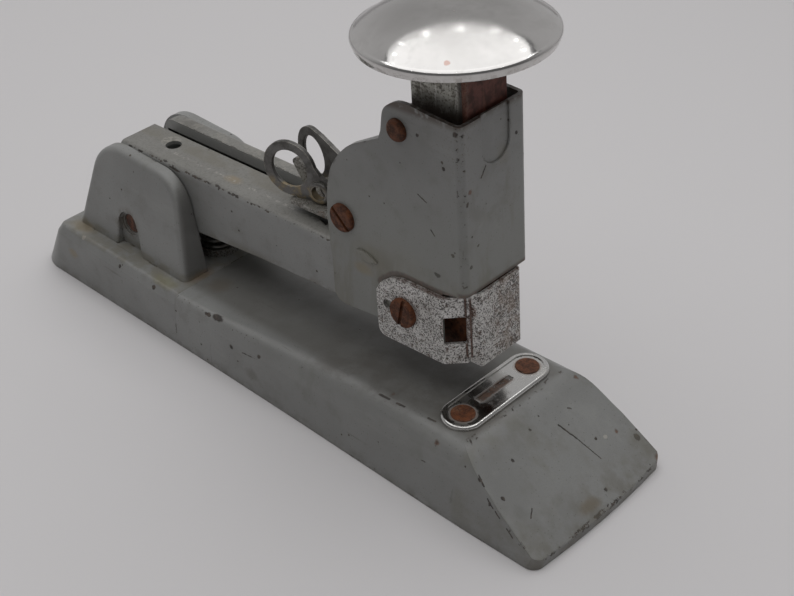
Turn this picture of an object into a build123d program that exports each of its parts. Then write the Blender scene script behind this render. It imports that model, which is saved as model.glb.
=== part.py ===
from build123d import *
import os
import math

os.makedirs("parts", exist_ok=True)

# ---------------------------------------------------------------------------
# Heavy-duty desk stapler with a palm knob.  Millimetres.
# +X runs from the pivot end to the anvil end, +Y to the stapler's left,
# +Z up.  Origin: middle of the base's footprint, on the table.
# The arm, head and knob are drawn level (the position in which the nose is
# parallel to the base) and are then lifted by REST_LIFT about the pivot.
# ---------------------------------------------------------------------------

# base
BASE_X0, BASE_X1 = -127.0, 127.0
SEAM_X = -43.0            # joint between rear bracket and base pan
PAN_T = 1.8               # base pan sheet
BRK_T = 1.8               # rear bracket sheet
BRK_H = 21.4              # bracket shelf height
BRK_HW = 32.9             # bracket half width at the table
BACK_X = -111.8           # rear edge of the shelf, above the sloping rear end
ANVIL_X = 80.5
TOP_H = 26.9              # base top height at the anvil
RAMP_X = 90.1             # top of the front ramp
LIP_H = 3.2               # height of the front lip

# ears
EAR_IN = 14.3             # inner edge of the ear flanges, half distance
EAR_FOOT = 25.5           # half distance of ear face at the shelf
EAR_LEAN = 6.5 / 39.0     # ear face leans inwards going up

# pivot and return spring
PIV_X, PIV_Z = -79.0, 31.0
PIN_R = 3.9
RUN = 0.06                # running clearance on radius
REST_LIFT = 4.5           # degrees the arm stands up at rest
MID_Y = 0.6               # the ears and arm sit this far off the base's middle
RET_X = -55.5             # return spring axis

# arm
ARM_HW = 13.8             # half width of the painted arm channel
ARM_T = 1.4
ARM_X0, ARM_X1 = -88.5, 46.0
ARM_TOP0 = 59.6           # top height at x = -88.5
ARM_SLOPE = -0.0235
SLOT_Y0, SLOT_Y1 = 2.8, 7.5
FAR_STEP = 1.2            # the far strip stands this much higher

# magazine
MAG_HW = 8.1
MAG_T = 1.2
MAG_X0, MAG_X1 = -64.0, 76.2
MAG_Z0, MAG_Z1 = 36.6, 52.0
RAIL_HW = 5.75
RAIL_TOP = 49.0

# follower
BAR_X0 = -7.2             # rear of the pusher bar
ROD_Y, ROD_Z, ROD_R = -5.0, 54.1, 1.2
PLATE_Z = 60.5            # underside of the bright slide plate

# head
HD_HW = 15.2              # half width of the head housing
HD_T = 1.4
HD_FRONT = 81.3
HD_R = 2.4                # front corner radius
HD_LOW = 58.9             # bottom edge of the housing's front wall
FLUTE_Y = 1.0             # centre line of the flute in the front wall
GUARD_T = 1.15
GUARD_Y = 16.36           # half width of the nose guard over its side walls
SEAT_Z = 70.0             # top of the plunger spring's seat

# plunger and knob
PL_X0, PL_X1 = 57.3, 77.6
PL_HW = 9.5
PL_T = 1.6
PL_LOW, PL_TOP = 86.0, 136.0
KNOB_X = 67.9
KNOB_R = 31.0
KNOB_Z = 137.9
PL_TRAVEL = 14.0

# finger rings
RING_X, RING_Z = -4.7, 72.6
RING_RO, RING_RI = 10.2, 6.9
RING_T = 1.6
RING_FLARE = 13.4
RING_OFF = 0.81           # the ring plates pass the hinge axis at this distance
HINGE_X = 17.5


def lift(s):
    """Turn a level arm part up to its rest position about the pivot axis."""
    ax = Axis((PIV_X, 0, PIV_Z), (0, 1, 0))
    return Pos(0, MID_Y, 0) * s.rotate(ax, -REST_LIFT)


def yzbox(x0, x1, y0, y1, z0, z1):
    return Pos((x0 + x1) / 2, (y0 + y1) / 2, (z0 + z1) / 2) * Box(x1 - x0, y1 - y0, z1 - z0)


def side_prism(pts, y0, y1):
    """Prism from a list of (x, z) points, spanning y0..y1."""
    f = make_face(Polyline(*[(p[0], y0, p[1]) for p in pts], close=True))
    return extrude(f, amount=y1 - y0, dir=(0, 1, 0))


def plan_prism(pts, z0, z1):
    f = make_face(Polyline(*[(p[0], p[1], z0) for p in pts], close=True))
    return extrude(f, amount=z1 - z0, dir=(0, 0, 1))


def cyl_y(x, z, r, y0, y1):
    return Pos(x, (y0 + y1) / 2, z) * Rot(90, 0, 0) * Cylinder(r, y1 - y0)


def cyl_z(x, y, r, z0, z1):
    return Pos(x, y, (z0 + z1) / 2) * Cylinder(r, z1 - z0)


def cyl_x(y, z, r, x0, x1):
    return Pos((x0 + x1) / 2, y, z) * Rot(0, 90, 0) * Cylinder(r, x1 - x0)


def solid_of(s):
    sol = s.solids() if hasattr(s, "solids") else [s]
    sol = sorted(sol, key=lambda q: -q.volume)
    return sol[0]


def both(s):
    """A part and its mirror image across the middle plane."""
    return [s, s.mirror(Plane.XZ)]


def save(s, name):
    if isinstance(s, (list, tuple)):
        s = Compound(children=[solid_of(q) for q in s])
    else:
        sols = s.solids()
        s = sols[0] if len(sols) == 1 else Compound(children=list(sols))
    s.label = name
    export_step(s, f"parts/{name}.step")


def try_fillet(s, edges, r):
    """Round edges, stepping the radius down if the corner is too tight."""
    edges = list(edges)
    if not edges:
        return s
    for k in (1.0, 0.8, 0.6, 0.4):
        try:
            out = fillet(edges, r * k)
            if out.is_valid and abs(out.volume) > 0:
                return out
        except Exception:
            continue
    return s


def inset_poly(pts, d):
    """Move every side of a clockwise polygon inwards by d."""
    n = len(pts)
    out = []
    for i in range(n):
        p0, p1, p2 = pts[i - 1], pts[i], pts[(i + 1) % n]

        def off(a, b):
            ux, uz = b[0] - a[0], b[1] - a[1]
            ln = math.hypot(ux, uz)
            nx, nz = uz / ln, -ux / ln
            return (a[0] + nx * d, a[1] + nz * d), (ux / ln, uz / ln)
        a, u = off(p0, p1)
        b, v = off(p1, p2)
        den = u[0] * v[1] - u[1] * v[0]
        t = ((b[0] - a[0]) * v[1] - (b[1] - a[1]) * v[0]) / den
        out.append((a[0] + u[0] * t, a[1] + u[1] * t))
    return out


def rounded_side(pts, radii, y0, y1):
    """Prism of an (x, z) polygon with rounded corners, spanning y0..y1."""
    s = side_prism(pts, y0, y1)
    for p, r in zip(pts, radii):
        if r > 0:
            e = s.edges().filter_by(Axis.Y).filter_by(
                lambda q, p=p: abs(q.center().X - p[0]) < 0.05 and abs(q.center().Z - p[1]) < 0.05)
            s = fillet(e, r)
    return s


def coil(r, wire, z0, z1, turns):
    """Coil spring on the Z axis between two heights."""
    h = z1 - z0 - 2 * wire
    path = Helix(pitch=h / turns, height=h, radius=r, center=(0, 0, z0 + wire))
    sec = Plane(origin=path @ 0, z_dir=path % 0) * Circle(wire)
    return sweep(sec, path=path, is_frenet=True)


def slotted_head(x, z, y0, y1, r, slot_w, slot_d, slot_deg):
    """Screw head on the near side: seat at y0, face at y1 (y1 < y0)."""
    h = cyl_y(x, z, r, y1, y0)
    h = try_fillet(h, h.edges().filter_by(GeomType.CIRCLE).filter_by(lambda e: abs(e.center().Y - y1) < 0.01), 0.9)
    s = Pos(x, y1, z) * Rot(0, slot_deg, 0) * Box(slot_w, 2 * slot_d, 3 * r)
    return h - s


# ------------------------------------------------------------------ base pan
# half sections along the length: x, top half width and height, two points of
# the rounded shoulder, foot half width
SECT = [
    (SEAM_X, 30.6, 21.4, 32.0, 20.0, 32.4, 17.6, 32.9),
    (-17.0, 29.7, 22.3, 31.3, 20.6, 32.1, 17.4, 33.0),
    (9.0, 27.4, 23.4, 30.0, 21.3, 31.7, 17.2, 33.2),
    (41.0, 25.2, 24.9, 28.8, 22.1, 31.3, 17.0, 33.6),
    (70.0, 24.8, 26.1, 28.7, 22.9, 31.4, 16.8, 34.1),
    (96.0, 25.2, 27.1, 29.2, 23.5, 31.7, 16.6, 34.4),
    (128.5, 25.4, 28.3, 29.4, 24.5, 31.7, 16.6, 33.9),
]
BEND = [1.4, 1.8, 2.4, 2.8, 2.8, 2.8, 2.8]     # length of the soft bends


def pan_section(k, inset, low):
    """Closed section number k with soft bends at both shoulder creases."""
    x, yt, zt, ym, zm, ys, zs, yf = SECT[k]
    i, b = inset, BEND[k]
    foot, side = (yf - i, low), (ys - i, zs - i * 0.2)
    mid, top = (ym - i * 0.85, zm - i * 0.55), (yt - i * 0.6, zt - i)
    ln = math.hypot(side[0] - foot[0], side[1] - foot[1])
    d = ((side[0] - foot[0]) / ln, (side[1] - foot[1]) / ln)
    low_end = (side[0] - d[0] * b, side[1] - d[1] * b)
    low_in = (side[0] - 0.10 * b, side[1] - 0.03 * b)
    top_in = (top[0] - 0.05 * b, top[1] - 0.12 * b)
    top_end = (top[0] - b, top[1])
    pts = [low_end, low_in, mid, top_in, top_end]

    def v(p, s=1):
        return Vector(x, s * p[0], p[1])
    left = Spline(*[v(p) for p in pts], tangents=[Vector(0, d[0], d[1]), Vector(0, -1, 0)])
    right = Spline(*[v(p, -1) for p in pts[::-1]], tangents=[Vector(0, -1, 0), Vector(0, d[0], -d[1])])
    w = Wire([Line(v(foot), v(low_end)), left, Line(v(top_end), v(top_end, -1)), right, Line(v(low_end, -1), v(foot, -1)),
              Line(v(foot, -1), v(foot))])
    return Face(w)


def pan_solid(inset, low):
    return loft([pan_section(k, inset, low) for k in range(len(SECT))], ruled=False)


pan_out = pan_solid(0.0, -0.6) - yzbox(-60.0, 140.0, -60, 60, -5.0, 0.0)
pan_in = pan_solid(PAN_T, -1.0)

# front ramp: everything above the ramp plane goes, with a soft crest
slope = (TOP_H - LIP_H) / (126.6 - RAMP_X)


def ramp_cutter(drop, back):
    a, z = RAMP_X - back, TOP_H - drop
    r = 6.0 - drop * 0.5
    b = (a + r * math.cos(math.atan(slope)), z - r * math.sin(math.atan(slope)))
    with BuildSketch(Plane.XZ) as sk:
        with BuildLine():
            Spline((a - r, z - 0.04 * r + 0.02), b, tangents=[(1, 0.04), (1, -slope)])
            Polyline(b, (150, z - slope * (150 - a)), (150, 60), (a - r, 60), (a - r, z - 0.04 * r + 0.02))
        make_face()
    return Pos(0, -60, 0) * extrude(sk.sketch, amount=-120)


def front_plan(off, z0, z1):
    """Plan outline with a slightly bowed front edge and small corner radii."""
    a = BASE_X1 - off
    with BuildPart() as bp:
        with BuildSketch(Plane.XY.offset(z0)):
            with BuildLine():
                Line((SEAM_X - 30, -60), (SEAM_X - 30, 60))
                Line((SEAM_X - 30, 60), (90, 60))
                Line((90, 60), (90, 34.4 - off))
                Line((90, 34.4 - off), (a - 5.2, 33.9 - off))
                TangentArc((a - 5.2, 33.9 - off), (a - 1.2, 29.5 - off), tangent=(1, -0.05))
                ThreePointArc((a - 1.2, 29.5 - off), (a, 0), (a - 1.2, -(29.5 - off)))
                TangentArc((a - 5.2, -(33.9 - off)), (a - 1.2, -(29.5 - off)), tangent=(1, 0.05))
                Line((a - 5.2, -(33.9 - off)), (90, -(34.4 - off)))
                Line((90, -(34.4 - off)), (90, -60))
                Line((90, -60), (SEAM_X - 30, -60))
            make_face()
        extrude(amount=z1 - z0)
    return bp.part


pan_out = (pan_out - ramp_cutter(0.0, 0.0)) & front_plan(0.0, -5, 60)
pan_in = (pan_in - ramp_cutter(2.2, 2.0)) & front_plan(PAN_T, -5, 60)
base_pan = pan_out - pan_in
# tongue that carries the rear bracket, one sheet lower than the shelf
TNG_LO, TNG_HI = BRK_H - BRK_T - 1.7, BRK_H - BRK_T
tongue = yzbox(-70.0, SEAM_X + 6.0, -27.0, 27.0, TNG_LO, TNG_HI)
tongue = tongue + yzbox(SEAM_X, SEAM_X + 6.0, -27.0, 27.0, TNG_LO, BRK_H - 0.7)
base_pan = base_pan + tongue
BRIV = [(-64.0, -10.6), (-64.0, 10.6)]
for rx, ry in BRIV:
    base_pan = base_pan - cyl_z(rx, ry, 2.5, 10, 30)
for ry in (-16.4, 16.4):
    base_pan = base_pan - cyl_z(ANVIL_X, ry, 3.0, 15, 40)


# --------------------------------------------------------------- rear bracket
def brk_plan(z, x0, hw, r):
    """Plan of the bracket at one height: open box end at x0 with corner radius r."""
    with BuildSketch(Plane.XY.offset(z)) as sk:
        with BuildLine():
            Line((SEAM_X, -hw), (SEAM_X, hw))
            Line((SEAM_X, hw), (x0 + r, hw))
            TangentArc((x0 + r, hw), (x0, hw - r), tangent=(-1, 0))
            Line((x0, hw - r), (x0, -(hw - r)))
            TangentArc((x0 + r, -hw), (x0, -(hw - r)), tangent=(-1, 0))
            Line((x0 + r, -hw), (SEAM_X, -hw))
        make_face()
    return sk.sketch


def brk_loft(i, low):
    """Bracket body moved in by i; the rear end slopes in to BACK_X."""
    x = i * 1.25
    lo = brk_plan(low, BASE_X0 + x - (0.7 if i else 0.0), BRK_HW - i, 12.5 - i * 0.6)
    mid = brk_plan(17.4 - i * 0.4, BACK_X - 3.0 + x, BRK_HW - 0.5 - i, 5.0 - i * 0.5)
    top = brk_plan(BRK_H - i, BACK_X + x, BRK_HW - 2.2 - i * 0.8, 2.8 - i * 0.5)
    return loft([lo, mid], ruled=True) + loft([mid, top], ruled=True)


brk_o = brk_loft(0.0, 0.0)
mid_e = brk_o.edges().filter_by(lambda e: abs(e.center().Z - 17.4) < 0.1 and e.center().X < SEAM_X - 1)
brk_o = try_fillet(brk_o, mid_e, 5.0)
tope = brk_o.edges().filter_by(lambda e: abs(e.center().Z - BRK_H) < 0.05 and e.center().X < SEAM_X - 1)
brk_o = try_fillet(brk_o, tope, 1.8)
brk_i = brk_loft(BRK_T, -1.0)
bracket = brk_o - brk_i
bracket = bracket - yzbox(SEAM_X - BRK_T - 3, SEAM_X + 5, -(BRK_HW - BRK_T - 0.6), BRK_HW - BRK_T - 0.6, -2, BRK_H - BRK_T)

# ears: side outline (x, z) of the leaning face, wider at the foot
EAR = [(-107.8, BRK_H - 1.2), (-97.7, 59.0), (-54.1, 58.6), (-45.4, BRK_H - 1.2)]
EAR_R = [0.0, 15.5, 13.5, 0.0]


def ear_prism(d, ylo, yhi):
    """Ear outline shrunk by d, spanning ylo..yhi."""
    return rounded_side(inset_poly(EAR, d) if d else EAR, [max(0.0, r - d) if r else 0.0 for r in EAR_R], ylo, yhi)


def lean_cut(off):
    """Everything outside the leaning ear face moved in by off (near side)."""
    z0, z1 = 0.0, 90.0

    def y(z):
        return -(EAR_FOOT - EAR_LEAN * (z - 20.0)) + off
    pts = [(y(z0), z0), (y(z1), z1), (-80, z1), (-80, z0)]
    f = make_face(Polyline(*[(-140, p[0], p[1]) for p in pts], close=True))
    return extrude(f, amount=120, dir=(1, 0, 0))


def make_ear():
    o = ear_prism(0.0, -40.0, -EAR_IN) - lean_cut(0.0)
    rim = o.edges().filter_by(lambda e: e.center().Y < -(EAR_IN + 2.5) and e.center().Z > BRK_H + 1.0
                              and abs(e.center().Y + (EAR_FOOT - EAR_LEAN * (e.center().Z - 20.0))) < 0.6)
    o = try_fillet(o, rim, 2.6)
    i = ear_prism(BRK_T, -40.0, -EAR_IN + 1.0) - lean_cut(BRK_T)
    # the cavity is open down to the shelf
    i = i + (yzbox(-105.4, -47.6, -40, -EAR_IN + 1.0, BRK_H - 3.5, BRK_H + 1.5) - lean_cut(BRK_T))
    e = o - i
    # vertical landing pressed into the leaning face, round the pin
    land_y = -22.3
    cup = (cyl_y(PIV_X, PIV_Z, 11.9, -30, land_y + BRK_T) & o)
    e = e + cup
    # the landing is narrow at the pin and widens towards the shelf, more so in front
    dent = cyl_y(PIV_X, PIV_Z + 0.2, 5.2, -40, land_y)
    dent = dent + side_prism([(PIV_X - 5.1, PIV_Z + 0.6), (PIV_X + 5.1, PIV_Z + 0.6), (PIV_X + 8.8, BRK_H),
                              (PIV_X - 5.1, BRK_H)], -40, land_y)
    e = e - dent
    for side in (1, -1):
        lip = e.edges().filter_by(lambda q: abs(q.center().Y + (EAR_FOOT - EAR_LEAN * (q.center().Z - 20.0))) < 0.3
                                  and 4.0 < side * (q.center().X - PIV_X) < 8.8 and q.length > 5.0
                                  and BRK_H + 0.5 < q.center().Z < PIV_Z + 2.0)
        e = try_fillet(e, lip, 0.8)
    e = e - cyl_y(PIV_X, PIV_Z, PIN_R, -40, 0)
    e = e - cyl_y(PIV_X, PIV_Z, 4.7, -40, land_y + 0.6)
    return solid_of(e)


ear_n = make_ear()
bracket = bracket + Pos(0, MID_Y, 0) * ear_n + Pos(0, MID_Y, 0) * ear_n.mirror(Plane.XZ)
for rx, ry in BRIV:
    bracket = bracket - cyl_z(rx, ry, 2.5, 10, 30)
save(bracket, "rear_bracket")

# rivets holding bracket to pan, between the ears
riv = []
for rx, ry in BRIV:
    s = cyl_z(rx, ry, 2.45, TNG_LO, BRK_H)
    s = s + cyl_z(rx, ry, 4.2, BRK_H, BRK_H + 1.2) + cyl_z(rx, ry, 4.0, TNG_LO - 1.2, TNG_LO)
    s = try_fillet(s, s.edges().filter_by(lambda e: abs(e.center().Z - (BRK_H + 1.2)) < 0.01), 0.8)
    riv.append(s)
save(riv, "bracket_rivets")

# return spring standing in a cup on the shelf
cup = cyl_z(RET_X, 0, 8.4, BRK_H, BRK_H + 3.0) - cyl_z(RET_X, 0, 7.6, BRK_H + 0.9, BRK_H + 5)
save(Pos(0, MID_Y, 0) * cup, "return_spring_cup")
save(Pos(RET_X, MID_Y, 0) * coil(6.2, 0.8, BRK_H + 0.95, 37.85, 4.5), "return_spring")

# ---------------------------------------------------------------- pivot parts
pin = cyl_y(PIV_X, PIV_Z, PIN_R - 0.02, MID_Y - 21.2, MID_Y + 21.2)
pin = try_fillet(pin, pin.edges().filter_by(GeomType.CIRCLE), 0.5)
save(pin, "pivot_pin")

bush_h = ARM_HW - ARM_T - 0.02
bush = cyl_y(PIV_X, PIV_Z, 6.2, -bush_h, bush_h) - cyl_y(PIV_X, PIV_Z, PIN_R + RUN, -20, 20)
save(lift(bush), "pivot_bush")


# ------------------------------------------------------------------ anvil
def obround(cx, half, r, z0, z1):
    return yzbox(cx - r, cx + r, -half, half, z0, z1) + cyl_z(cx, -half, r, z0, z1) + cyl_z(cx, half, r, z0, z1)


ANV_Z = TOP_H - 0.4       # the plate sits in a shallow seat on the base top
ANV_T = 1.7
anv = obround(ANVIL_X, 16.4, 7.4, ANV_Z, ANV_Z + ANV_T)
anv = try_fillet(anv, anv.edges().filter_by(lambda e: abs(e.center().Z - (ANV_Z + ANV_T)) < 0.01), 1.0)
anv = anv - obround(ANVIL_X, 16.4, 5.7, ANV_Z + ANV_T - 0.35, ANV_Z + ANV_T + 1)
for ry in (-16.4, 16.4):
    anv = anv - cyl_z(ANVIL_X, ry, 3.0, ANV_Z - 1, ANV_Z + 5)
# two clinch pockets
for sy in (-1, 1):
    anv = anv - Pos(ANVIL_X - 0.6, sy * 4.9, ANV_Z + ANV_T + 8.6) * Rot(0, 90, 0) * Cylinder(9.7, 2.4)
save(anv, "anvil_plate")

ars = []
for ry in (-16.4, 16.4):
    s = cyl_z(ANVIL_X, ry, 2.95, ANV_Z - 3.6, ANV_Z + ANV_T - 0.35) + cyl_z(ANVIL_X, ry, 4.1, ANV_Z + ANV_T - 0.35, ANV_Z + ANV_T + 0.05)
    s = s + cyl_z(ANVIL_X, ry, 4.4, ANV_Z - 4.9, ANV_Z - 3.6)
    s = try_fillet(s, s.edges().filter_by(lambda e: abs(e.center().Z - (ANV_Z + ANV_T + 0.05)) < 0.01), 0.25)
    ars.append(s)
save(ars, "anvil_rivets")

# seat for the anvil in the pan
base_pan = base_pan - obround(ANVIL_X, 16.4, 7.42, ANV_Z, ANV_Z + 6)
save(base_pan, "base_pan")


# ------------------------------------------------------------------- arm
def arm_top(x):
    return ARM_TOP0 + ARM_SLOPE * (x - ARM_X0)


ARM_LOW = [(ARM_X1, 37.2), (18.6, 36.5), (-15.0, 36.2), (-50.0, 34.5), (-66.0, 34.4), (-71.5, 31.0), (-86.4, 31.0), (ARM_X0, 36.0)]


def arm_body(y0, y1, dz, d):
    """Arm side outline between two planes, top raised by dz, walls moved in by d."""
    top = [(ARM_X0 + d, arm_top(ARM_X0) + dz - d), (ARM_X1 + (1 if d else 0), arm_top(ARM_X1) + dz - d)]
    low = [(p[0] + (1 if d and p[0] > 40 else 0), p[1] - (30 if d else 0)) for p in ARM_LOW]
    low = [(max(p[0], ARM_X0 + d), p[1]) for p in low]
    if d:
        low = [(low[0][0], 0.0), (ARM_X0 + d, 0.0)]
    s = side_prism(top + low, y0, y1)
    if not d:
        s = s + cyl_y(PIV_X, PIV_Z, 7.5, y0, y1)
    return s


near = arm_body(-ARM_HW, SLOT_Y0, 0.0, 0.0)
near = try_fillet(near, near.edges().filter_by(
    lambda e: abs(e.center().Y + ARM_HW) < 0.01 and e.length > 100 and e.center().Z > 50), 2.0)
near = near - arm_body(-ARM_HW + ARM_T, SLOT_Y0 + 1, 0.0, ARM_T)
far = arm_body(SLOT_Y1 + 0.1, ARM_HW, FAR_STEP, 0.0)
far = try_fillet(far, far.edges().filter_by(
    lambda e: abs(e.center().Y - ARM_HW) < 0.01 and e.length > 100 and e.center().Z > 50), 2.0)
far = try_fillet(far, far.edges().filter_by(Axis.Y).filter_by(
    lambda e: abs(e.center().X - ARM_X0) < 0.1 and e.center().Z > 55), 5.0)
far_in = arm_body(SLOT_Y1 + 0.1 + 1.2, ARM_HW - ARM_T, FAR_STEP, ARM_T)
far_in = try_fillet(far_in, far_in.edges().filter_by(Axis.Y).filter_by(
    lambda e: abs(e.center().X - ARM_X0 - ARM_T) < 0.1 and e.center().Z > 50), 3.6)
far = far - far_in
# the turned-down inner flange of the far strip is shallow
far = far - side_prism([(ARM_X0 + ARM_T, 0), (ARM_X0 + ARM_T, arm_top(ARM_X0) - 3.2), (ARM_X1 + 1, arm_top(ARM_X1) - 3.2), (ARM_X1 + 1, 0)],
                       SLOT_Y1 - 0.5, SLOT_Y1 + 1.4)
mid = side_prism([(ARM_X0, 36.0), (ARM_X0, 54.0), (ARM_X0 + ARM_T, 54.0), (ARM_X0 + ARM_T, 34.5)], SLOT_Y0 - 0.5, SLOT_Y1 + 0.6)
tie = yzbox(42.0, ARM_X1, SLOT_Y0 - 0.5, SLOT_Y1 + 0.6, arm_top(44) - 1.5, arm_top(44) - 0.1)
arm = near + far + mid + tie
# round hole near the pivot, notch beside the housing, bores for the pin
arm = arm - cyl_z(-70.2, -3.5, 3.0, 54, 64)
arm = arm - plan_prism([(8.0, -6.0), (13.0, -3.6), (13.0, -8.0)], 54, 62)
arm = arm - cyl_y(PIV_X, PIV_Z, PIN_R + 0.4, -20, 20)
arm = arm - cyl_x(ROD_Y, ROD_Z, ROD_R + 0.02, -92, -80)
save(lift(arm), "arm_channel")

# magazine: a tray with tabs that join it to the arm and to the head bracket
mag = yzbox(MAG_X0, MAG_X1, -MAG_HW, MAG_HW, MAG_Z0, MAG_Z1)
mag = try_fillet(mag, mag.edges().filter_by(Axis.X).filter_by(lambda e: e.center().Z < MAG_Z0 + 0.1), 1.6)
mag = mag - yzbox(MAG_X0 - 1, MAG_X1 + 1, -(MAG_HW - MAG_T), MAG_HW - MAG_T, MAG_Z0 + MAG_T, MAG_Z1 + 1)
for sy in (-1, 1):
    for x0, x1, yo, z0, z1 in ((-62.0, -50.0, ARM_HW - ARM_T, 41.0, 48.0), (10.0, 20.0, ARM_HW - ARM_T, 41.0, 48.0), (58.0, 63.0, 12.5, 46.0, 51.0)):
        y0, y1 = sorted((sy * (MAG_HW - 0.2), sy * yo))
        web = yzbox(x0, x0 + 1.2, y0, y1, z0, z1)
        ya, yb = sorted((sy * (yo - 1.2), sy * yo))
        mag = mag + web + yzbox(x0, x1, ya, yb, z0, z1)
save(lift(mag), "magazine_channel")

rail = yzbox(-58.0, MAG_X1, -RAIL_HW, RAIL_HW, MAG_Z0 + MAG_T, RAIL_TOP)
rail = try_fillet(rail, rail.edges().filter_by(Axis.X).filter_by(lambda e: e.center().Z > RAIL_TOP - 0.1), 0.9)
rail = rail - yzbox(-60.0, MAG_X1 + 1, -(RAIL_HW - 1.2), RAIL_HW - 1.2, MAG_Z0 + MAG_T - 1, RAIL_TOP - 1.2)
save(lift(rail), "staple_rail")

# pusher: saddle over the rail, long bar, lug on the spring rod, neck up the slot
push = yzbox(60.0, 75.6, -6.8, 6.8, 39.5, 50.3) - yzbox(59, 77, -5.85, 5.85, 30, 49.1)
push = push + yzbox(BAR_X0, 61.0, -5.6, 5.6, 49.1, 50.3)
push = push + yzbox(BAR_X0, BAR_X0 + 1.5, -6.7, -3.0, 49.1, 56.0)
push = push + yzbox(-5.0, 8.0, 4.4, 5.6, 49.1, PLATE_Z)
push = push - cyl_x(ROD_Y, ROD_Z, ROD_R + RUN, BAR_X0 - 5, BAR_X0 + 5)
save(lift(push), "staple_pusher")

rod = cyl_x(ROD_Y, ROD_Z, ROD_R, ARM_X0 - 1.2, 1.0) + cyl_x(ROD_Y, ROD_Z, 2.4, ARM_X0 - 1.2, ARM_X0)
rod = try_fillet(rod, rod.edges().filter_by(GeomType.CIRCLE).filter_by(lambda e: e.center().X < ARM_X0 - 1.1), 0.5)
save(lift(rod), "follower_rod")
fsp = coil(1.7, 0.35, 0.0, (BAR_X0 - 0.2) - (ARM_X0 + ARM_T + 0.2), 24)
fsp = Pos(ARM_X0 + ARM_T + 0.2, ROD_Y, ROD_Z) * (Rot(0, 90, 0) * fsp)
save(lift(fsp), "follower_spring")

# bright slide plate that the finger rings stand on, with an upturned lug
# between them that stops the squeeze
plate = yzbox(-3.6, 22.0, -8.6, 7.0, PLATE_Z, PLATE_Z + 1.5)
plate = try_fillet(plate, plate.edges().filter_by(Axis.Z), 1.5)
lug = rounded_side([(-3.2, PLATE_Z + 0.5), (-5.1, 65.9), (-8.9, 71.6), (-6.5, 73.9), (-3.6, 71.2), (-1.2, 66.0), (0.8, PLATE_Z + 0.5)],
                   [0, 0, 1.4, 1.4, 0, 0, 0], -0.6, 0.6)
plate = plate + lug
plate = plate - cyl_z(HINGE_X, 0, 1.32, 50, 70)
save(lift(plate), "slide_plate")

# ------------------------------------------------------------ finger rings
KN_R = 2.6
HPIN_R = 1.3
hpin = cyl_z(HINGE_X, 0, HPIN_R, PLATE_Z, 75.8) + cyl_z(HINGE_X, 0, 2.3, 75.8, 76.8)
hpin = try_fillet(hpin, hpin.edges().filter_by(GeomType.CIRCLE).filter_by(lambda e: e.center().Z > 76.7), 0.5)
save(lift(hpin), "ring_hinge_pin")

EYE_X, EYE_Z = 7.0, 66.2


BODY_NEAR = [(-9.5, 64.4), (-3.4, 62.6), (-2.2, 62.1), (14.1, 62.1), (14.1, 69.6), (10.2, 70.4), (7.4, 72.0), (4.6, 75.6), (-1.0, 73.0)]
BODY_FAR = [(-9.5, 64.4), (-3.4, 62.6), (-2.2, 62.1), (14.1, 62.1), (14.1, 77.6), (12.3, 79.8), (1.4, 82.2), (-3.0, 82.6), (-3.0, 73.0)]


def ring_plate(body_pts, z0, z1):
    """Near finger ring, drawn flat in the plane y = -RING_OFF, hinge knuckle z0..z1."""
    ya, yb = -RING_OFF - RING_T / 2, -RING_OFF + RING_T / 2
    p = cyl_y(RING_X, RING_Z, RING_RO, ya, yb)
    p = p + side_prism(body_pts, ya, yb)
    p = p - cyl_y(RING_X, RING_Z, RING_RI, -20, 20)
    for yy in (ya, yb):
        e = p.edges().filter_by(GeomType.CIRCLE).filter_by(lambda q: abs(q.radius - RING_RI) < 0.01 and abs(q.center().Y - yy) < 0.01)
        p = try_fillet(p, e, 0.5)
    # extruded eyelet
    p = p + cyl_y(EYE_X, EYE_Z, 4.0, ya - 1.3, yb)
    e = p.edges().filter_by(GeomType.CIRCLE).filter_by(lambda q: abs(q.center().Y - ya + 1.3) < 0.01)
    p = try_fillet(p, e, 0.6)
    p = p - cyl_y(EYE_X, EYE_Z, 2.7, -20, 20)
    # strip to the hinge and its knuckle
    p = p + yzbox(14.0, HINGE_X, ya, yb, z0, z1) + cyl_z(HINGE_X, 0, KN_R, z0, z1)
    p = p - cyl_z(HINGE_X, 0, HPIN_R + RUN, 55, 90)
    return p.rotate(Axis((HINGE_X, 0, 0), (0, 0, 1)), RING_FLARE)


save(lift(ring_plate(BODY_NEAR, 62.2, 68.8)), "finger_ring_near")
save(lift(ring_plate(BODY_FAR, 69.0, 75.6).mirror(Plane.XZ)), "finger_ring_far")
# light spring between the two plates, on the eyelet axis
eye_x = HINGE_X - (HINGE_X - EYE_X) * math.cos(math.radians(RING_FLARE))
gap = (HINGE_X - EYE_X) * math.sin(math.radians(RING_FLARE)) + (RING_OFF - RING_T / 2) * math.cos(math.radians(RING_FLARE))
rsp = coil(3.0, 0.35, -(gap - 1.0), gap - 1.0, 3)
rsp = Pos(eye_x, 0, EYE_Z) * (Rot(90, 0, 0) * rsp)
save(lift(rsp), "ring_spring")

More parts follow.
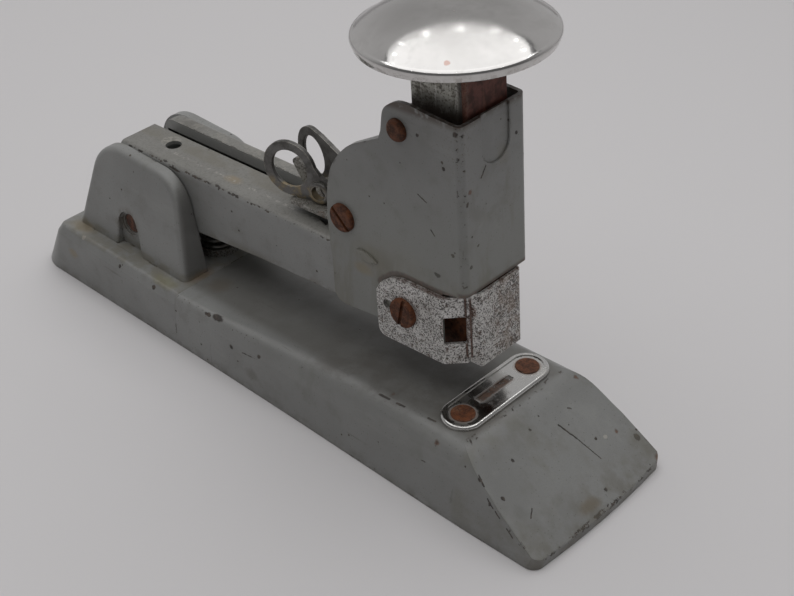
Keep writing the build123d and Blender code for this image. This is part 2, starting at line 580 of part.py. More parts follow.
# ---------------------------------------------------------------- housing
def house_outline(y0, y1):
    """Side outline of the housing with a smooth rear lobe."""
    with BuildSketch(Plane.XZ) as sk:
        with BuildLine():
            Polyline((48.3, 104.2), (49.5, 107.3), (50.3, 112.2))
            Spline((50.3, 112.2), (52.0, 115.9), (55.6, 118.3), (62.5, 119.2), tangents=[(0.15, 1), (1, 0)])
            Polyline((62.5, 119.2), (70.3, 118.1), (81.3, 117.3), (81.3, 58.9), (79.4, 58.6), (71.7, 57.1), (70.7, 55.2), (70.5, 37.6), (41.8, 36.3), (27.6, 35.35))
            Spline((27.6, 35.35), (24.0, 36.6), (22.75, 40.0), tangents=[(-1, -0.02), (0.05, 1)])
            Polyline((22.75, 40.0), (23.0, 50.9))
            Spline((23.0, 50.9), (22.5, 62.3), (22.9, 73.7), (24.4, 82.3), (26.6, 87.9), (30.2, 92.9), (35.9, 98.0), (41.0, 100.6), (48.3, 104.2))
        make_face()
    # the sketch's own normal points to -Y
    s = extrude(sk.sketch, amount=-(y1 - y0))
    return Pos(0, y0, 0) * s


def house_plan(off, z0, z1, r):
    s = yzbox(-50, HD_FRONT - off, -(HD_HW - off), HD_HW - off, z0, z1)
    e = s.edges().filter_by(Axis.Z).filter_by(lambda q: q.center().X > 70)
    return fillet(e, r)


outer = house_outline(-HD_HW, HD_HW) & house_plan(0.0, 30, 125, HD_R)
inner = house_plan(HD_T, 20, 130, HD_R - HD_T)
house = outer - inner
# shallow round-ended flute pressed into the upper front
flute = yzbox(HD_FRONT - 0.7, HD_FRONT + 1, FLUTE_Y - 6.35, FLUTE_Y + 6.35, 106.3, 125) + cyl_x(FLUTE_Y, 106.3, 6.35, HD_FRONT - 0.7, HD_FRONT + 1)
house = house - flute
fe = house.edges().filter_by(lambda e: abs(e.center().X - HD_FRONT) < 0.02 and abs(e.center().Y) < 7.2 and 98 < e.center().Z < 118.2)
house = try_fillet(house, fe, 0.35)
# inward lips along the top of the lobe
LIP = [(35.9, 98.0), (41.0, 100.6), (48.3, 104.2)]
lip_top = side_prism([(36.2, 98.25), (41.0, 100.6), (48.3, 104.15), (48.9, 102.9), (41.6, 99.3), (36.9, 97.0)], -HD_HW, HD_HW)
wedge = plan_prism([(36.0, -HD_HW + 0.3), (49.5, -HD_HW + 0.3), (49.5, -HD_HW + 5.2), (36.0, -HD_HW + 2.2)], 90, 110)
house = house + (lip_top & wedge) + (lip_top & wedge.mirror(Plane.XZ))
# crescent lanced tabs that locate the arm
for sy in (-1, 1):
    y0, y1 = sorted((sy * (HD_HW - 0.2), sy * (HD_HW + 0.8)))
    tab = side_prism([(35.5, 60.3), (37.4, 60.5), (39.8, 60.1), (42.4, 59.1), (44.2, 57.9), (42.2, 56.9), (39.4, 57.0), (36.8, 58.3)], y0, y1)
    tab = try_fillet(tab, tab.edges().filter_by(lambda e: abs(abs(e.center().Y) - (HD_HW + 0.8)) < 0.01), 0.35)
    house = house + tab
SCR_X, SCR_Z = 29.8, 69.8
GSC_X, GSC_Z = 55.6, 44.3
RIV_X, RIV_Z = 56.6, 109.6
house = house - cyl_y(SCR_X, SCR_Z, 2.5, -30, 30) - cyl_y(GSC_X, GSC_Z, 2.5, -30, 30) - cyl_y(RIV_X, RIV_Z, 2.4, -30, 30)
save(lift(house), "head_housing")

spacer_h = HD_HW - HD_T - 0.01
spacer = cyl_y(SCR_X, SCR_Z, 4.2, -spacer_h, spacer_h) - cyl_y(SCR_X, SCR_Z, 2.5, -20, 20)
save(lift(spacer), "housing_spacer")

scr = slotted_head(SCR_X, SCR_Z, -HD_HW, -HD_HW - 1.6, 5.0, 1.3, 1.0, -45) + cyl_y(SCR_X, SCR_Z, 2.45, -HD_HW, -6.0)
save([lift(q) for q in both(scr)], "housing_screws")

rv = cyl_y(RIV_X, RIV_Z, 3.8, -HD_HW - 1.7, -HD_HW)
rv = try_fillet(rv, rv.edges().filter_by(GeomType.CIRCLE).filter_by(lambda e: abs(e.center().Y + HD_HW + 1.7) < 0.01), 1.5)
rv = rv + cyl_y(RIV_X, RIV_Z, 2.35, -HD_HW, -10.6)
save([lift(q) for q in both(rv)], "housing_rivets")

# block that guides the plunger's back and sides
GB_HW = HD_HW - HD_T - 0.01
block = yzbox(50.8, PL_X0 - 0.15, -GB_HW, GB_HW, 104.0, 112.6)
block = block + yzbox(56.5, 62.4, -GB_HW, -9.65, 104.0, 112.6) + yzbox(56.5, 62.4, 9.65, GB_HW, 104.0, 112.6)
block = try_fillet(block, block.edges().filter_by(Axis.Y).filter_by(lambda e: e.center().X < 51 and e.center().Z > 112), 2.0)
block = block - cyl_y(RIV_X, RIV_Z, 2.4, -GB_HW - 1, -10.4) - cyl_y(RIV_X, RIV_Z, 2.4, 10.4, GB_HW + 1)
save(lift(block), "rear_guide_block")

# ---------------------------------------------------------------- nose guard
GO = [(43.6, -GUARD_Y), (43.6, GUARD_Y), (72.0, GUARD_Y), (77.4, 11.2), (82.4, 9.9), (82.4, -9.9), (77.4, -11.2), (72.0, -GUARD_Y)]
GI = inset_poly(GO, GUARD_T)


def plan_round(pts, radii, z0, z1):
    s = plan_prism(pts, z0, z1)
    for p, r in zip(pts, radii):
        if r > 0:
            e = s.edges().filter_by(Axis.Z).filter_by(
                lambda q, p=p: abs(q.center().X - p[0]) < 0.05 and abs(q.center().Y - p[1]) < 0.05)
            s = fillet(e, r)
    return s


GR = [0, 0, 2.0, 1.5, 1.6, 1.6, 1.5, 2.0]
guard = plan_round(GO, GR, 30.0, 60.0) - plan_round([(p[0] - 3 if p[0] < 50 else p[0], p[1]) for p in GI], [max(0, r - 0.9) for r in GR], 20.0, 70.0)
gside = rounded_side([(43.6, 31.1), (43.6, 48.2), (45.9, 52.1), (50.4, 55.3), (54.8, 56.6), (76.6, 56.2), (78.6, 58.3), (84.0, 58.4), (84.0, 31.1)],
                     [3.0, 3.0, 3.5, 4.0, 3.0, 0, 0.8, 0, 0], -20, 20)
guard = guard & gside
for sy in (-1, 1):
    guard = guard - Pos(80.0, sy * 10.9, 31.0) * Box(5.0, 1.9, 5.0)
    # oblong window across the corner panel
    win = Box(7.4, 6.0, 10.0)
    win = fillet(win.edges().filter_by(Axis.Y), 0.6)
    guard = guard - Pos(74.75, sy * 13.6, 43.7) * Rot(0, 0, -45 * sy) * win
    # slotted hole so that the guard slides forward off its screw
    y0, y1 = sorted((sy * 10.0, sy * 20.0))
    guard = guard - cyl_y(48.2, GSC_Z, 1.8, y0, y1) - yzbox(48.2, GSC_X, y0, y1, GSC_Z - 1.8, GSC_Z + 1.8) - cyl_y(GSC_X, GSC_Z, 2.6, y0, y1)
save(lift(guard), "nose_guard")

gs = slotted_head(GSC_X, GSC_Z, -GUARD_Y, -GUARD_Y - 1.8, 5.2, 1.4, 1.0, 13) + cyl_y(GSC_X, GSC_Z, 2.45, -GUARD_Y, -12.0)
save([lift(q) for q in both(gs)], "guard_screws")

nose = yzbox(77.7, 82.4 - GUARD_T - 0.01, -7.6, 7.6, 31.3, 56.6)
nose = try_fillet(nose, nose.edges().filter_by(Axis.Z).filter_by(lambda e: e.center().X > 80), 0.8)
nose = try_fillet(nose, nose.edges().filter_by(Axis.Y).filter_by(lambda e: e.center().X < 78 and e.center().Z > 56), 1.2)
# cheeks beside the magazine's mouth, seen through the guard's windows
nose = nose + yzbox(77.7, 78.7, -9.3, 9.3, 33.0, 52.0)
for sy in (-1, 1):
    y0, y1 = sorted((sy * 8.3, sy * 9.3))
    nose = nose + side_prism([(65.5, 34.2), (67.0, 33.0), (78.7, 33.0), (78.7, 52.0), (68.0, 52.0), (65.5, 49.5)], y0, y1)
save(lift(nose), "nose_block")

# bracket inside the head: seat for the plunger spring and anchor for the guard
LEG_O = HD_HW - HD_T - 0.02
ib = yzbox(58.0, 76.0, -LEG_O, LEG_O, SEAT_Z - 2.0, SEAT_Z)
for sy in (-1, 1):
    y0, y1 = sorted((sy * 12.5, sy * LEG_O))
    leg = rounded_side([(48.0, 38.0), (48.0, 62.0), (58.0, SEAT_Z), (66.0, SEAT_Z), (66.0, 38.0)], [3, 3, 0, 0, 3], y0, y1)
    ib = ib + leg
ib = ib - cyl_y(GSC_X, GSC_Z, 2.5, -20, 20) - cyl_z(KNOB_X, 0, 1.85, 60, 80)
save(lift(ib), "inner_bracket")

grod = cyl_z(KNOB_X, 0, 2.5, SEAT_Z, 111.0) + cyl_z(KNOB_X, 0, 1.8, SEAT_Z - 2.0, SEAT_Z) + cyl_z(KNOB_X, 0, 3.0, SEAT_Z - 3.0, SEAT_Z - 2.0)
grod = try_fillet(grod, grod.edges().filter_by(GeomType.CIRCLE).filter_by(lambda e: e.center().Z > 110.9), 1.0)
save(lift(grod), "spring_guide_rod")

BLK_LOW = 127.6
save(lift(Pos(KNOB_X, 0, 0) * coil(5.0, 0.8, SEAT_Z + 0.05, BLK_LOW - 0.1, 9)), "plunger_spring")

# -------------------------------------------------------------- plunger
pl = yzbox(PL_X0, PL_X1, -PL_HW, PL_HW, PL_LOW, PL_TOP)
pl = try_fillet(pl, pl.edges().filter_by(Axis.Z).filter_by(lambda e: e.center().X < PL_X0 + 0.1), 0.9)
pl = pl - yzbox(PL_X0 + PL_T, PL_X1 + 1, -(PL_HW - PL_T), PL_HW - PL_T, PL_LOW - 1, PL_TOP + 1)
save(lift(pl), "plunger_channel")

fp = yzbox(PL_X1, PL_X1 + 1.4, -9.4, 9.4, PL_LOW, PL_TOP - 0.2)
fp = try_fillet(fp, fp.edges().filter_by(Axis.Z).filter_by(lambda e: e.center().X > PL_X1 + 1), 0.5)
DRV_Z = (91.0, 97.0)
DRV_T = 1.15
for z in DRV_Z:
    fp = fp - cyl_x(0, z, 1.6, 70, 90)
save(lift(fp), "plunger_front_plate")

blade = yzbox(PL_X1 - DRV_T, PL_X1 - 0.01, -6.3, 6.3, 46.0, 101.0)
for z in DRV_Z:
    blade = blade - cyl_x(0, z, 1.6, 70, 90)
save(lift(blade), "driver_blade")
drv = [cyl_x(0, z, 1.58, PL_X1 - DRV_T, PL_X1 + 1.4) + cyl_x(0, z, 2.6, PL_X1 - DRV_T - 0.6, PL_X1 - DRV_T) for z in DRV_Z]
save([lift(q) for q in drv], "driver_rivets")

tb = yzbox(PL_X0 + PL_T + 0.01, PL_X1 - DRV_T - 0.3, -(PL_HW - PL_T - 0.01), PL_HW - PL_T - 0.01, BLK_LOW, PL_TOP)
tb = tb - cyl_z(KNOB_X, 0, 2.5, 129.6, 150)
save(lift(tb), "plunger_top_block")


# ---------------------------------------------------------------- knob
def turned(pts_lines):
    """Revolve a closed (r, z) profile about the knob's axis."""
    with BuildSketch(Plane.XZ) as sk:
        with BuildLine():
            for kind, pts, kw in pts_lines:
                if kind == "s":
                    Spline(*pts, **kw)
                else:
                    Polyline(*pts)
        make_face()
    return Pos(KNOB_X, 0, 0) * revolve(sk.sketch, axis=Axis.Z)


kp = turned([("p", [(2.6, PL_TOP), (14.0, PL_TOP), (17.5, KNOB_Z + 0.2), (29.2, KNOB_Z + 0.2), (29.2, KNOB_Z + 1.3), (17.1, KNOB_Z + 1.3),
                    (13.6, PL_TOP + 1.2), (2.6, PL_TOP + 1.2), (2.6, PL_TOP)], {})])
save(lift(kp), "knob_plate")

ks = cyl_z(KNOB_X, 0, 2.45, 129.8, PL_TOP + 1.2) + cyl_z(KNOB_X, 0, 5.2, PL_TOP + 1.2, PL_TOP + 3.8)
ks = try_fillet(ks, ks.edges().filter_by(GeomType.CIRCLE).filter_by(lambda e: e.center().Z > PL_TOP + 3.7), 0.8)
ks = ks - Pos(KNOB_X, 0, PL_TOP + 3.8) * Box(12, 1.4, 2.4)
save(lift(ks), "knob_screw")

# chromed dome with a rolled rim, closed on top, open below
K = KNOB_Z
cap = turned([
    ("s", [(0, K + 10.3), (8.0, K + 9.85), (16.0, K + 8.4), (23.0, K + 6.2), (28.2, K + 3.6), (29.8, K + 2.5)], {"tangents": [(1, 0), (0.8, -0.6)]}),
    ("s", [(29.8, K + 2.5), (31.0, K + 1.0), (30.4, K - 0.7), (28.6, K - 1.3)], {"tangents": [(0.9, -0.25), (-1, 0.0)]}),
    ("p", [(28.6, K - 1.3), (27.4, K - 1.1), (27.4, K - 0.1), (28.7, K - 0.1)], {}),
    ("s", [(28.7, K - 0.1), (29.75, K + 0.5), (29.7, K + 1.4)], {"tangents": [(1, 0.0), (-0.5, 0.86)]}),
    ("s", [(29.7, K + 1.4), (27.6, K + 2.9), (22.5, K + 5.1), (15.8, K + 7.2), (8.0, K + 8.65), (0, K + 9.1)], {"tangents": [(-0.8, 0.6), (-1, 0)]}),
    ("p", [(0, K + 9.1), (0, K + 10.3)], {}),
])
save(lift(cap), "knob_cap")
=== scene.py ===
import math
import bpy
from mathutils import Vector, Matrix

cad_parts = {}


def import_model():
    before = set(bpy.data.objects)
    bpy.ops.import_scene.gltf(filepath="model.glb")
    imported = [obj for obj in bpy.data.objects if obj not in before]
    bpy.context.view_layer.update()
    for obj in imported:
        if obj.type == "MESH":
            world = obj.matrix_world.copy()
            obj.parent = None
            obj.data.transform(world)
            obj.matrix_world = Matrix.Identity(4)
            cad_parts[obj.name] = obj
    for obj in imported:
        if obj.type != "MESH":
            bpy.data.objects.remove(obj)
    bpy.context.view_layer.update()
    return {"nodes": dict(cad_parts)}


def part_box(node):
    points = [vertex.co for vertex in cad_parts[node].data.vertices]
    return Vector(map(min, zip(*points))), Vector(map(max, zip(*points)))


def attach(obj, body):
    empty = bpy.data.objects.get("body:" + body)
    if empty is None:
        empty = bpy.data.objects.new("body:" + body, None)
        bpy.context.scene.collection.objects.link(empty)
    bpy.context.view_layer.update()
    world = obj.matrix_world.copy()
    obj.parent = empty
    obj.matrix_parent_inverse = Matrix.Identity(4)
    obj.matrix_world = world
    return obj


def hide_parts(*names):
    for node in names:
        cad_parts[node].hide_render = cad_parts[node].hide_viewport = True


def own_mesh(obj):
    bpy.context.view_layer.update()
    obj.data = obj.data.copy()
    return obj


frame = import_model()
NODES = frame["nodes"]
MM = 0.001


# ---------------------------------------------------------------------------
# the level arm frame: the arm and head are built level and stand 4.5 degrees up
# ---------------------------------------------------------------------------
LIFT = math.radians(4.5)


def rest(x, y, z):
    """Level arm coordinates in mm to rest coordinates in metres."""
    dx, dz = x + 79.0, z - 31.0
    return Vector((-79.0 + dx * math.cos(LIFT) - dz * math.sin(LIFT), y + 0.6,
                   31.0 + dx * math.sin(LIFT) + dz * math.cos(LIFT))) * MM


def rest_dir(x, y, z):
    return Vector((x * math.cos(LIFT) - z * math.sin(LIFT), y, x * math.sin(LIFT) + z * math.cos(LIFT)))


# ---------------------------------------------------------------------------
# node builder
# ---------------------------------------------------------------------------
class Mat:
    def __init__(self, name, seed=0.0):
        self.mat = bpy.data.materials.new(name)
        self.mat.use_nodes = True
        self.nt = self.mat.node_tree
        self.nt.nodes.clear()
        out = self.n("ShaderNodeOutputMaterial")
        self.bsdf = self.n("ShaderNodeBsdfPrincipled")
        self.link(self.bsdf.outputs[0], out.inputs[0])
        tc = self.n("ShaderNodeTexCoord")
        self.P = tc.outputs["Object"]
        self.seed = seed
        self.PS = self.vm("ADD", self.P, (seed, seed * 0.7, seed * 1.3))
        self._sep = None
        self._dist = {}

    def n(self, kind):
        return self.nt.nodes.new(kind)

    def link(self, a, b):
        self.nt.links.new(a, b)

    def put(self, sock, v):
        if isinstance(v, bpy.types.NodeSocket):
            self.link(v, sock)
        elif isinstance(v, (tuple, list, Vector)):
            v = tuple(v)
            sock.default_value = v + (1.0,) if len(sock.default_value) == 4 and len(v) == 3 else v
        else:
            sock.default_value = v

    def m(self, op, a, b=0.0, c=0.0, clamp=False):
        q = self.n("ShaderNodeMath")
        q.operation = op
        q.use_clamp = clamp
        self.put(q.inputs[0], a)
        self.put(q.inputs[1], b)
        if op in ("MULTIPLY_ADD", "SMOOTH_MIN", "SMOOTH_MAX"):
            self.put(q.inputs[2], c)
        return q.outputs[0]

    def vm(self, op, a, b=(0.0, 0.0, 0.0), scale=None):
        q = self.n("ShaderNodeVectorMath")
        q.operation = op
        self.put(q.inputs[0], a)
        if op not in ("LENGTH", "SCALE", "NORMALIZE"):
            self.put(q.inputs[1], b)
        if scale is not None:
            self.put(q.inputs["Scale"], scale)
        return q.outputs["Value"] if op in ("LENGTH", "DOT_PRODUCT", "DISTANCE") else q.outputs["Vector"]

    def noise(self, scale, detail=3.0, rough=0.55, warp=0.0, P=None, color=False, stretch=None):
        P = P or self.PS
        if stretch:
            P = self.vm("MULTIPLY", P, stretch)
        q = self.n("ShaderNodeTexNoise")
        self.link(P, q.inputs["Vector"])
        q.inputs["Scale"].default_value = scale
        q.inputs["Detail"].default_value = detail
        q.inputs["Roughness"].default_value = rough
        q.inputs["Distortion"].default_value = warp
        return q.outputs[1] if color else q.outputs[0]

    def cells(self, scale, P=None, kind="F1"):
        q = self.n("ShaderNodeTexVoronoi")
        q.feature = kind
        self.link(P or self.PS, q.inputs["Vector"])
        q.inputs["Scale"].default_value = scale
        return q.outputs["Distance"], q.outputs["Color"] if kind == "F1" else None

    def ramp(self, v, lo, hi, a=0.0, b=1.0):
        q = self.n("ShaderNodeMapRange")
        q.interpolation_type = "SMOOTHSTEP"
        self.put(q.inputs["Value"], v)
        q.inputs["From Min"].default_value = lo
        q.inputs["From Max"].default_value = hi
        q.inputs["To Min"].default_value = a
        q.inputs["To Max"].default_value = b
        return q.outputs[0]

    def mix(self, f, a, b):
        q = self.n("ShaderNodeMix")
        q.data_type = "RGBA"
        self.put(q.inputs[0], f)
        self.put(q.inputs[6], a)
        self.put(q.inputs[7], b)
        return q.outputs[2]

    def mixf(self, f, a, b):
        q = self.n("ShaderNodeMix")
        q.data_type = "FLOAT"
        self.put(q.inputs[0], f)
        self.put(q.inputs[2], a)
        self.put(q.inputs[3], b)
        return q.outputs[0]

    def mul(self, *v):
        r = v[0]
        for q in v[1:]:
            r = self.m("MULTIPLY", r, q)
        return r

    def top(self, *v):
        r = None
        for q in v:
            if q is None:
                continue
            r = q if r is None else self.m("MAXIMUM", r, q)
        return r

    def xyz(self):
        if self._sep is None:
            q = self.n("ShaderNodeSeparateXYZ")
            self.link(self.P, q.inputs[0])
            self._sep = q.outputs
        return self._sep

    def level(self):
        """Level arm x, y, z in metres from the rest position."""
        x, y, z = self.xyz()[0], self.xyz()[1], self.xyz()[2]
        dx = self.m("ADD", x, 0.079)
        dz = self.m("SUBTRACT", z, 0.031)
        c, s = math.cos(LIFT), math.sin(LIFT)
        lx = self.m("ADD", self.m("ADD", self.mul(dx, c), self.mul(dz, s)), -0.079)
        lz = self.m("ADD", self.m("SUBTRACT", self.mul(dz, c), self.mul(dx, s)), 0.031)
        return lx, self.m("SUBTRACT", y, 0.0006), lz

    def wob(self, amp, scale):
        """Position shaken by noise, for irregular outlines."""
        key = (amp, scale)
        if key not in self._dist:
            c = self.noise(scale, 3.0, 0.6, color=True)
            c = self.vm("SUBTRACT", c, (0.5, 0.5, 0.5))
            self._dist[key] = self.vm("ADD", self.P, self.vm("SCALE", c, scale=amp * 2.2))
        return self._dist[key]

    def blob(self, c, r, soft=0.35, amp=0.0006, scale=700.0):
        """1 inside an uneven patch at c (metres) with radii r (mm)."""
        if not isinstance(r, (tuple, list)):
            r = (r, r, r)
        q = self.vm("SUBTRACT", self.wob(amp, scale), c)
        q = self.vm("MULTIPLY", q, tuple(1.0 / (k * MM) for k in r))
        return self.ramp(self.vm("LENGTH", q), 1.0 - soft, 1.0 + soft, 1.0, 0.0)

    def seg(self, a, b, w, soft=0.35, amp=0.0004, scale=700.0):
        """1 along the segment from a to b (metres), w mm to each side."""
        a, b = Vector(a), Vector(b)
        ab = b - a
        q = self.vm("SUBTRACT", self.wob(amp, scale), a)
        t = self.m("MULTIPLY", self.vm("DOT_PRODUCT", q, ab), 1.0 / ab.length_squared, clamp=True)
        d = self.vm("LENGTH", self.vm("SUBTRACT", q, self.vm("SCALE", ab, scale=t)))
        return self.ramp(d, (1.0 - soft) * w * MM, (1.0 + soft) * w * MM, 1.0, 0.0)

    def band(self, v, lo, hi, soft):
        return self.mul(self.ramp(v, lo - soft, lo + soft), self.ramp(v, hi - soft, hi + soft, 1.0, 0.0))

    def edge(self, r=1.0, lo=0.015, hi=0.10):
        """1 on corners, from the difference between a rounded and the real normal."""
        bv = self.n("ShaderNodeBevel")
        bv.samples = 4
        bv.inputs["Radius"].default_value = r * MM
        g = self.n("ShaderNodeNewGeometry")
        d = self.vm("DOT_PRODUCT", bv.outputs[0], g.outputs["True Normal"])
        return self.ramp(self.m("SUBTRACT", 1.0, d), lo, hi)

    def up(self, lo=0.5, hi=0.9):
        g = self.n("ShaderNodeNewGeometry")
        q = self.n("ShaderNodeSeparateXYZ")
        self.link(g.outputs["True Normal"], q.inputs[0])
        return self.ramp(q.outputs[2], lo, hi)

    def facing(self, d, lo=0.5, hi=0.9):
        g = self.n("ShaderNodeNewGeometry")
        return self.ramp(self.vm("DOT_PRODUCT", g.outputs["True Normal"], d), lo, hi)

    def finish(self, color, rough, height=None, metal=None, strength=1.0, spec=0.5):
        self.put(self.bsdf.inputs["Base Color"], color)
        self.put(self.bsdf.inputs["Roughness"], rough)
        self.bsdf.inputs["Specular IOR Level"].default_value = spec
        if metal is not None:
            self.put(self.bsdf.inputs["Metallic"], metal)
        if height is not None:
            bp = self.n("ShaderNodeBump")
            bp.inputs["Strength"].default_value = strength
            bp.inputs["Distance"].default_value = MM
            self.link(height, bp.inputs["Height"])
            self.link(bp.outputs[0], self.bsdf.inputs["Normal"])
        return self.mat


# ---------------------------------------------------------------------------
# grey enamel: mottled, orange-peeled, grimy, chipped to dark steel at the edges
# ---------------------------------------------------------------------------
GREY_A = (0.262, 0.264, 0.256)
GREY_B = (0.212, 0.213, 0.205)
CHIP = (0.040, 0.034, 0.030)
RUST = (0.150, 0.062, 0.030)
OCHRE = (0.245, 0.180, 0.085)
PALE = (0.42, 0.40, 0.36)


def enamel(name, seed, chips=(), scratches=(), rust=(), pale=(), stains=(), wear=(), edge_r=1.0,
           edge_on=0.57, grime=0.35, extra=None, warm_top=0.0, tone=1.0):
    b = Mat(name, seed)
    big = b.noise(20.0, 3.0)
    mid = b.noise(120.0, 4.0, 0.6)
    peel = b.noise(900.0, 2.0)
    fine = b.noise(2600.0, 3.0, 0.7)
    col = b.mix(b.ramp(big, 0.35, 0.65), tuple(tone * q for q in GREY_A), tuple(tone * q for q in GREY_B))
    col = b.mix(b.mul(b.ramp(mid, 0.52, 0.74), grime), col, (0.158, 0.154, 0.134))
    col = b.mix(b.mul(b.ramp(fine, 0.45, 0.75), 0.30), col, (0.150, 0.150, 0.138))
    streak = b.noise(70.0, 4.0, 0.65, stretch=(0.25, 1.0, 1.0))
    col = b.mix(b.mul(b.ramp(streak, 0.55, 0.72), 0.20), col, (0.335, 0.335, 0.318))
    if warm_top:
        t = b.up()
        sp = b.ramp(b.noise(1100.0, 4.0, 0.75), 0.47, 0.62)
        col = b.mix(b.mul(t, warm_top), col, b.mix(sp, (0.295, 0.285, 0.255), (0.165, 0.152, 0.130)))
    # stray dark specks
    d, c = b.cells(310.0)
    rare = b.ramp(b.vm("DOT_PRODUCT", c, (1.0, 0.0, 0.0)), 0.86, 0.88)
    size = b.m("MULTIPLY_ADD", b.vm("DOT_PRODUCT", c, (0.0, 1.0, 0.0)), 0.11, 0.03)
    speck = b.mul(b.ramp(b.m("SUBTRACT", d, size), -0.012, 0.03, 1.0, 0.0), rare)
    d2, c2 = b.cells(900.0)
    rare2 = b.ramp(b.vm("DOT_PRODUCT", c2, (0.0, 0.0, 1.0)), 0.76, 0.80)
    speck2 = b.mul(b.ramp(d2, 0.10, 0.24, 1.0, 0.0), rare2, 0.55)
    # edge wear in dashes
    e = b.edge(edge_r)
    dash = b.ramp(b.noise(170.0, 4.0, 0.6), edge_on, edge_on + 0.035)
    worn = b.mul(e, dash)
    halo = b.mul(e, b.ramp(b.noise(60.0, 3.0), 0.42, 0.62), 0.5)
    col = b.mix(halo, col, (0.155, 0.148, 0.128))
    line = b.ramp(b.noise(620.0, 3.0, 0.55, stretch=(0.045, 1.0, 1.0)), 0.685, 0.72)
    line2 = b.ramp(b.noise(560.0, 3.0, 0.55, P=b.vm("ADD", b.PS, (1.7, 0.3, 0.9)), stretch=(1.0, 0.05, 0.12)), 0.70, 0.73)
    fines = b.mul(b.top(line, line2), b.ramp(b.noise(45.0, 3.0), 0.45, 0.60))
    col = b.mix(b.mul(fines, 0.45), col, (0.10, 0.096, 0.085))
    dark = b.top(speck, worn)
    for s in stains:
        col = b.mix(b.mul(b.blob(s[0], s[1], 0.6, 0.0016, 260.0), s[3] if len(s) > 3 else 0.6), col, s[2])
    pits = None
    for c0, r in chips:
        pits = b.top(pits, b.blob(c0, r, 0.22))
    for a0, b0, w in scratches:
        pits = b.top(pits, b.seg(a0, b0, w, 0.35, 0.00025, 900.0))
    for a0, b0, w, cut in wear:
        pits = b.top(pits, b.mul(b.seg(a0, b0, w, 0.3, 0.0005, 500.0),
                                 b.ramp(b.noise(420.0, 4.0, 0.65), cut, cut + 0.04)))
    dark = b.top(dark, pits)
    bare = b.mix(b.ramp(b.noise(520.0, 3.0), 0.42, 0.62), CHIP, (0.085, 0.068, 0.054))
    col = b.mix(speck2, col, (0.10, 0.092, 0.080))
    col = b.mix(dark, col, bare)
    lt = None
    for c0, r in pale:
        lt = b.top(lt, b.blob(c0, r, 0.3))
    if lt is not None:
        col = b.mix(b.mul(lt, 0.8), col, PALE)
    rs = None
    for c0, r in rust:
        rs = b.top(rs, b.blob(c0, r, 0.5, 0.0009, 420.0))
    if rs is not None:
        col = b.mix(b.mul(rs, 0.85), col, b.mix(b.ramp(b.noise(700.0, 3.0), 0.4, 0.65), RUST, (0.07, 0.035, 0.02)))
    rough = b.mixf(b.ramp(mid, 0.35, 0.7), 0.33, 0.46)
    rough = b.mixf(dark, rough, 0.62)
    h = b.m("MULTIPLY_ADD", peel, 0.022, b.mul(b.noise(95.0, 2.0), 0.16))
    h = b.m("MULTIPLY_ADD", fine, 0.006, h)
    h = b.m("SUBTRACT", h, b.mul(dark, 0.10))
    h = b.m("SUBTRACT", h, b.mul(speck2, 0.02))
    if extra:
        col, rough, h = extra(b, col, rough, h)
    return b.finish(col, rough, h)


def pan_extra(b, col, rough, h):
    x, y, z = b.xyz()[0], b.xyz()[1], b.xyz()[2]
    # grime with painted shade on the top strip under the head, and an oily darkening beside the anvil that is partly
    # painted shade
    under = b.mul(b.band(x, 0.020, 0.079, 0.012), b.up(0.7, 0.95), b.ramp(b.noise(110.0, 4.0, 0.65), 0.38, 0.66))
    col = b.mix(b.mul(under, 0.5), col, (0.085, 0.074, 0.062))
    # painted shade: the whole up-facing top strip between the sides is darkened where the arm and head stand over it
    strip = b.mul(b.band(x, -0.060, 0.0893, 0.0012), b.band(y, -0.0238, 0.0238, 0.0025), b.up(0.7, 0.95),
                  b.ramp(b.noise(45.0, 4.0, 0.6), 0.25, 0.60, 0.55, 1.0))
    col = b.mix(b.mul(strip, 0.60), col, (0.118, 0.112, 0.100))
    nose = b.mul(b.band(x, 0.072, 0.0893, 0.0012), b.band(y, -0.0240, 0.0240, 0.0025), b.ramp(b.noise(90.0, 4.0, 0.65), 0.28, 0.60))
    col = b.mix(b.mul(nose, 0.45), col, (0.098, 0.086, 0.068))
    # darker along the foot of the sides
    foot = b.mul(b.ramp(z, 0.0008, 0.0042, 1.0, 0.0), b.ramp(b.noise(180.0, 3.0), 0.35, 0.65))
    col = b.mix(b.mul(foot, 0.45), col, (0.11, 0.102, 0.088))
    # ramp: drawn grime and pale rubs running down it
    rmp = b.ramp(x, 0.0895, 0.0925)
    run = b.noise(60.0, 4.0, 0.6, stretch=(0.55, 1.0, 1.0))
    col = b.mix(b.mul(rmp, b.ramp(run, 0.50, 0.66), 0.42), col, (0.165, 0.156, 0.124))
    col = b.mix(b.mul(rmp, b.ramp(run, 0.44, 0.34), 0.24), col, (0.345, 0.345, 0.33))
    low = b.mul(b.ramp(x, 0.112, 0.1265), b.ramp(b.noise(140.0, 4.0, 0.6), 0.40, 0.62))
    col = b.mix(b.mul(low, 0.42), col, (0.125, 0.110, 0.082))
    return col, rough, h


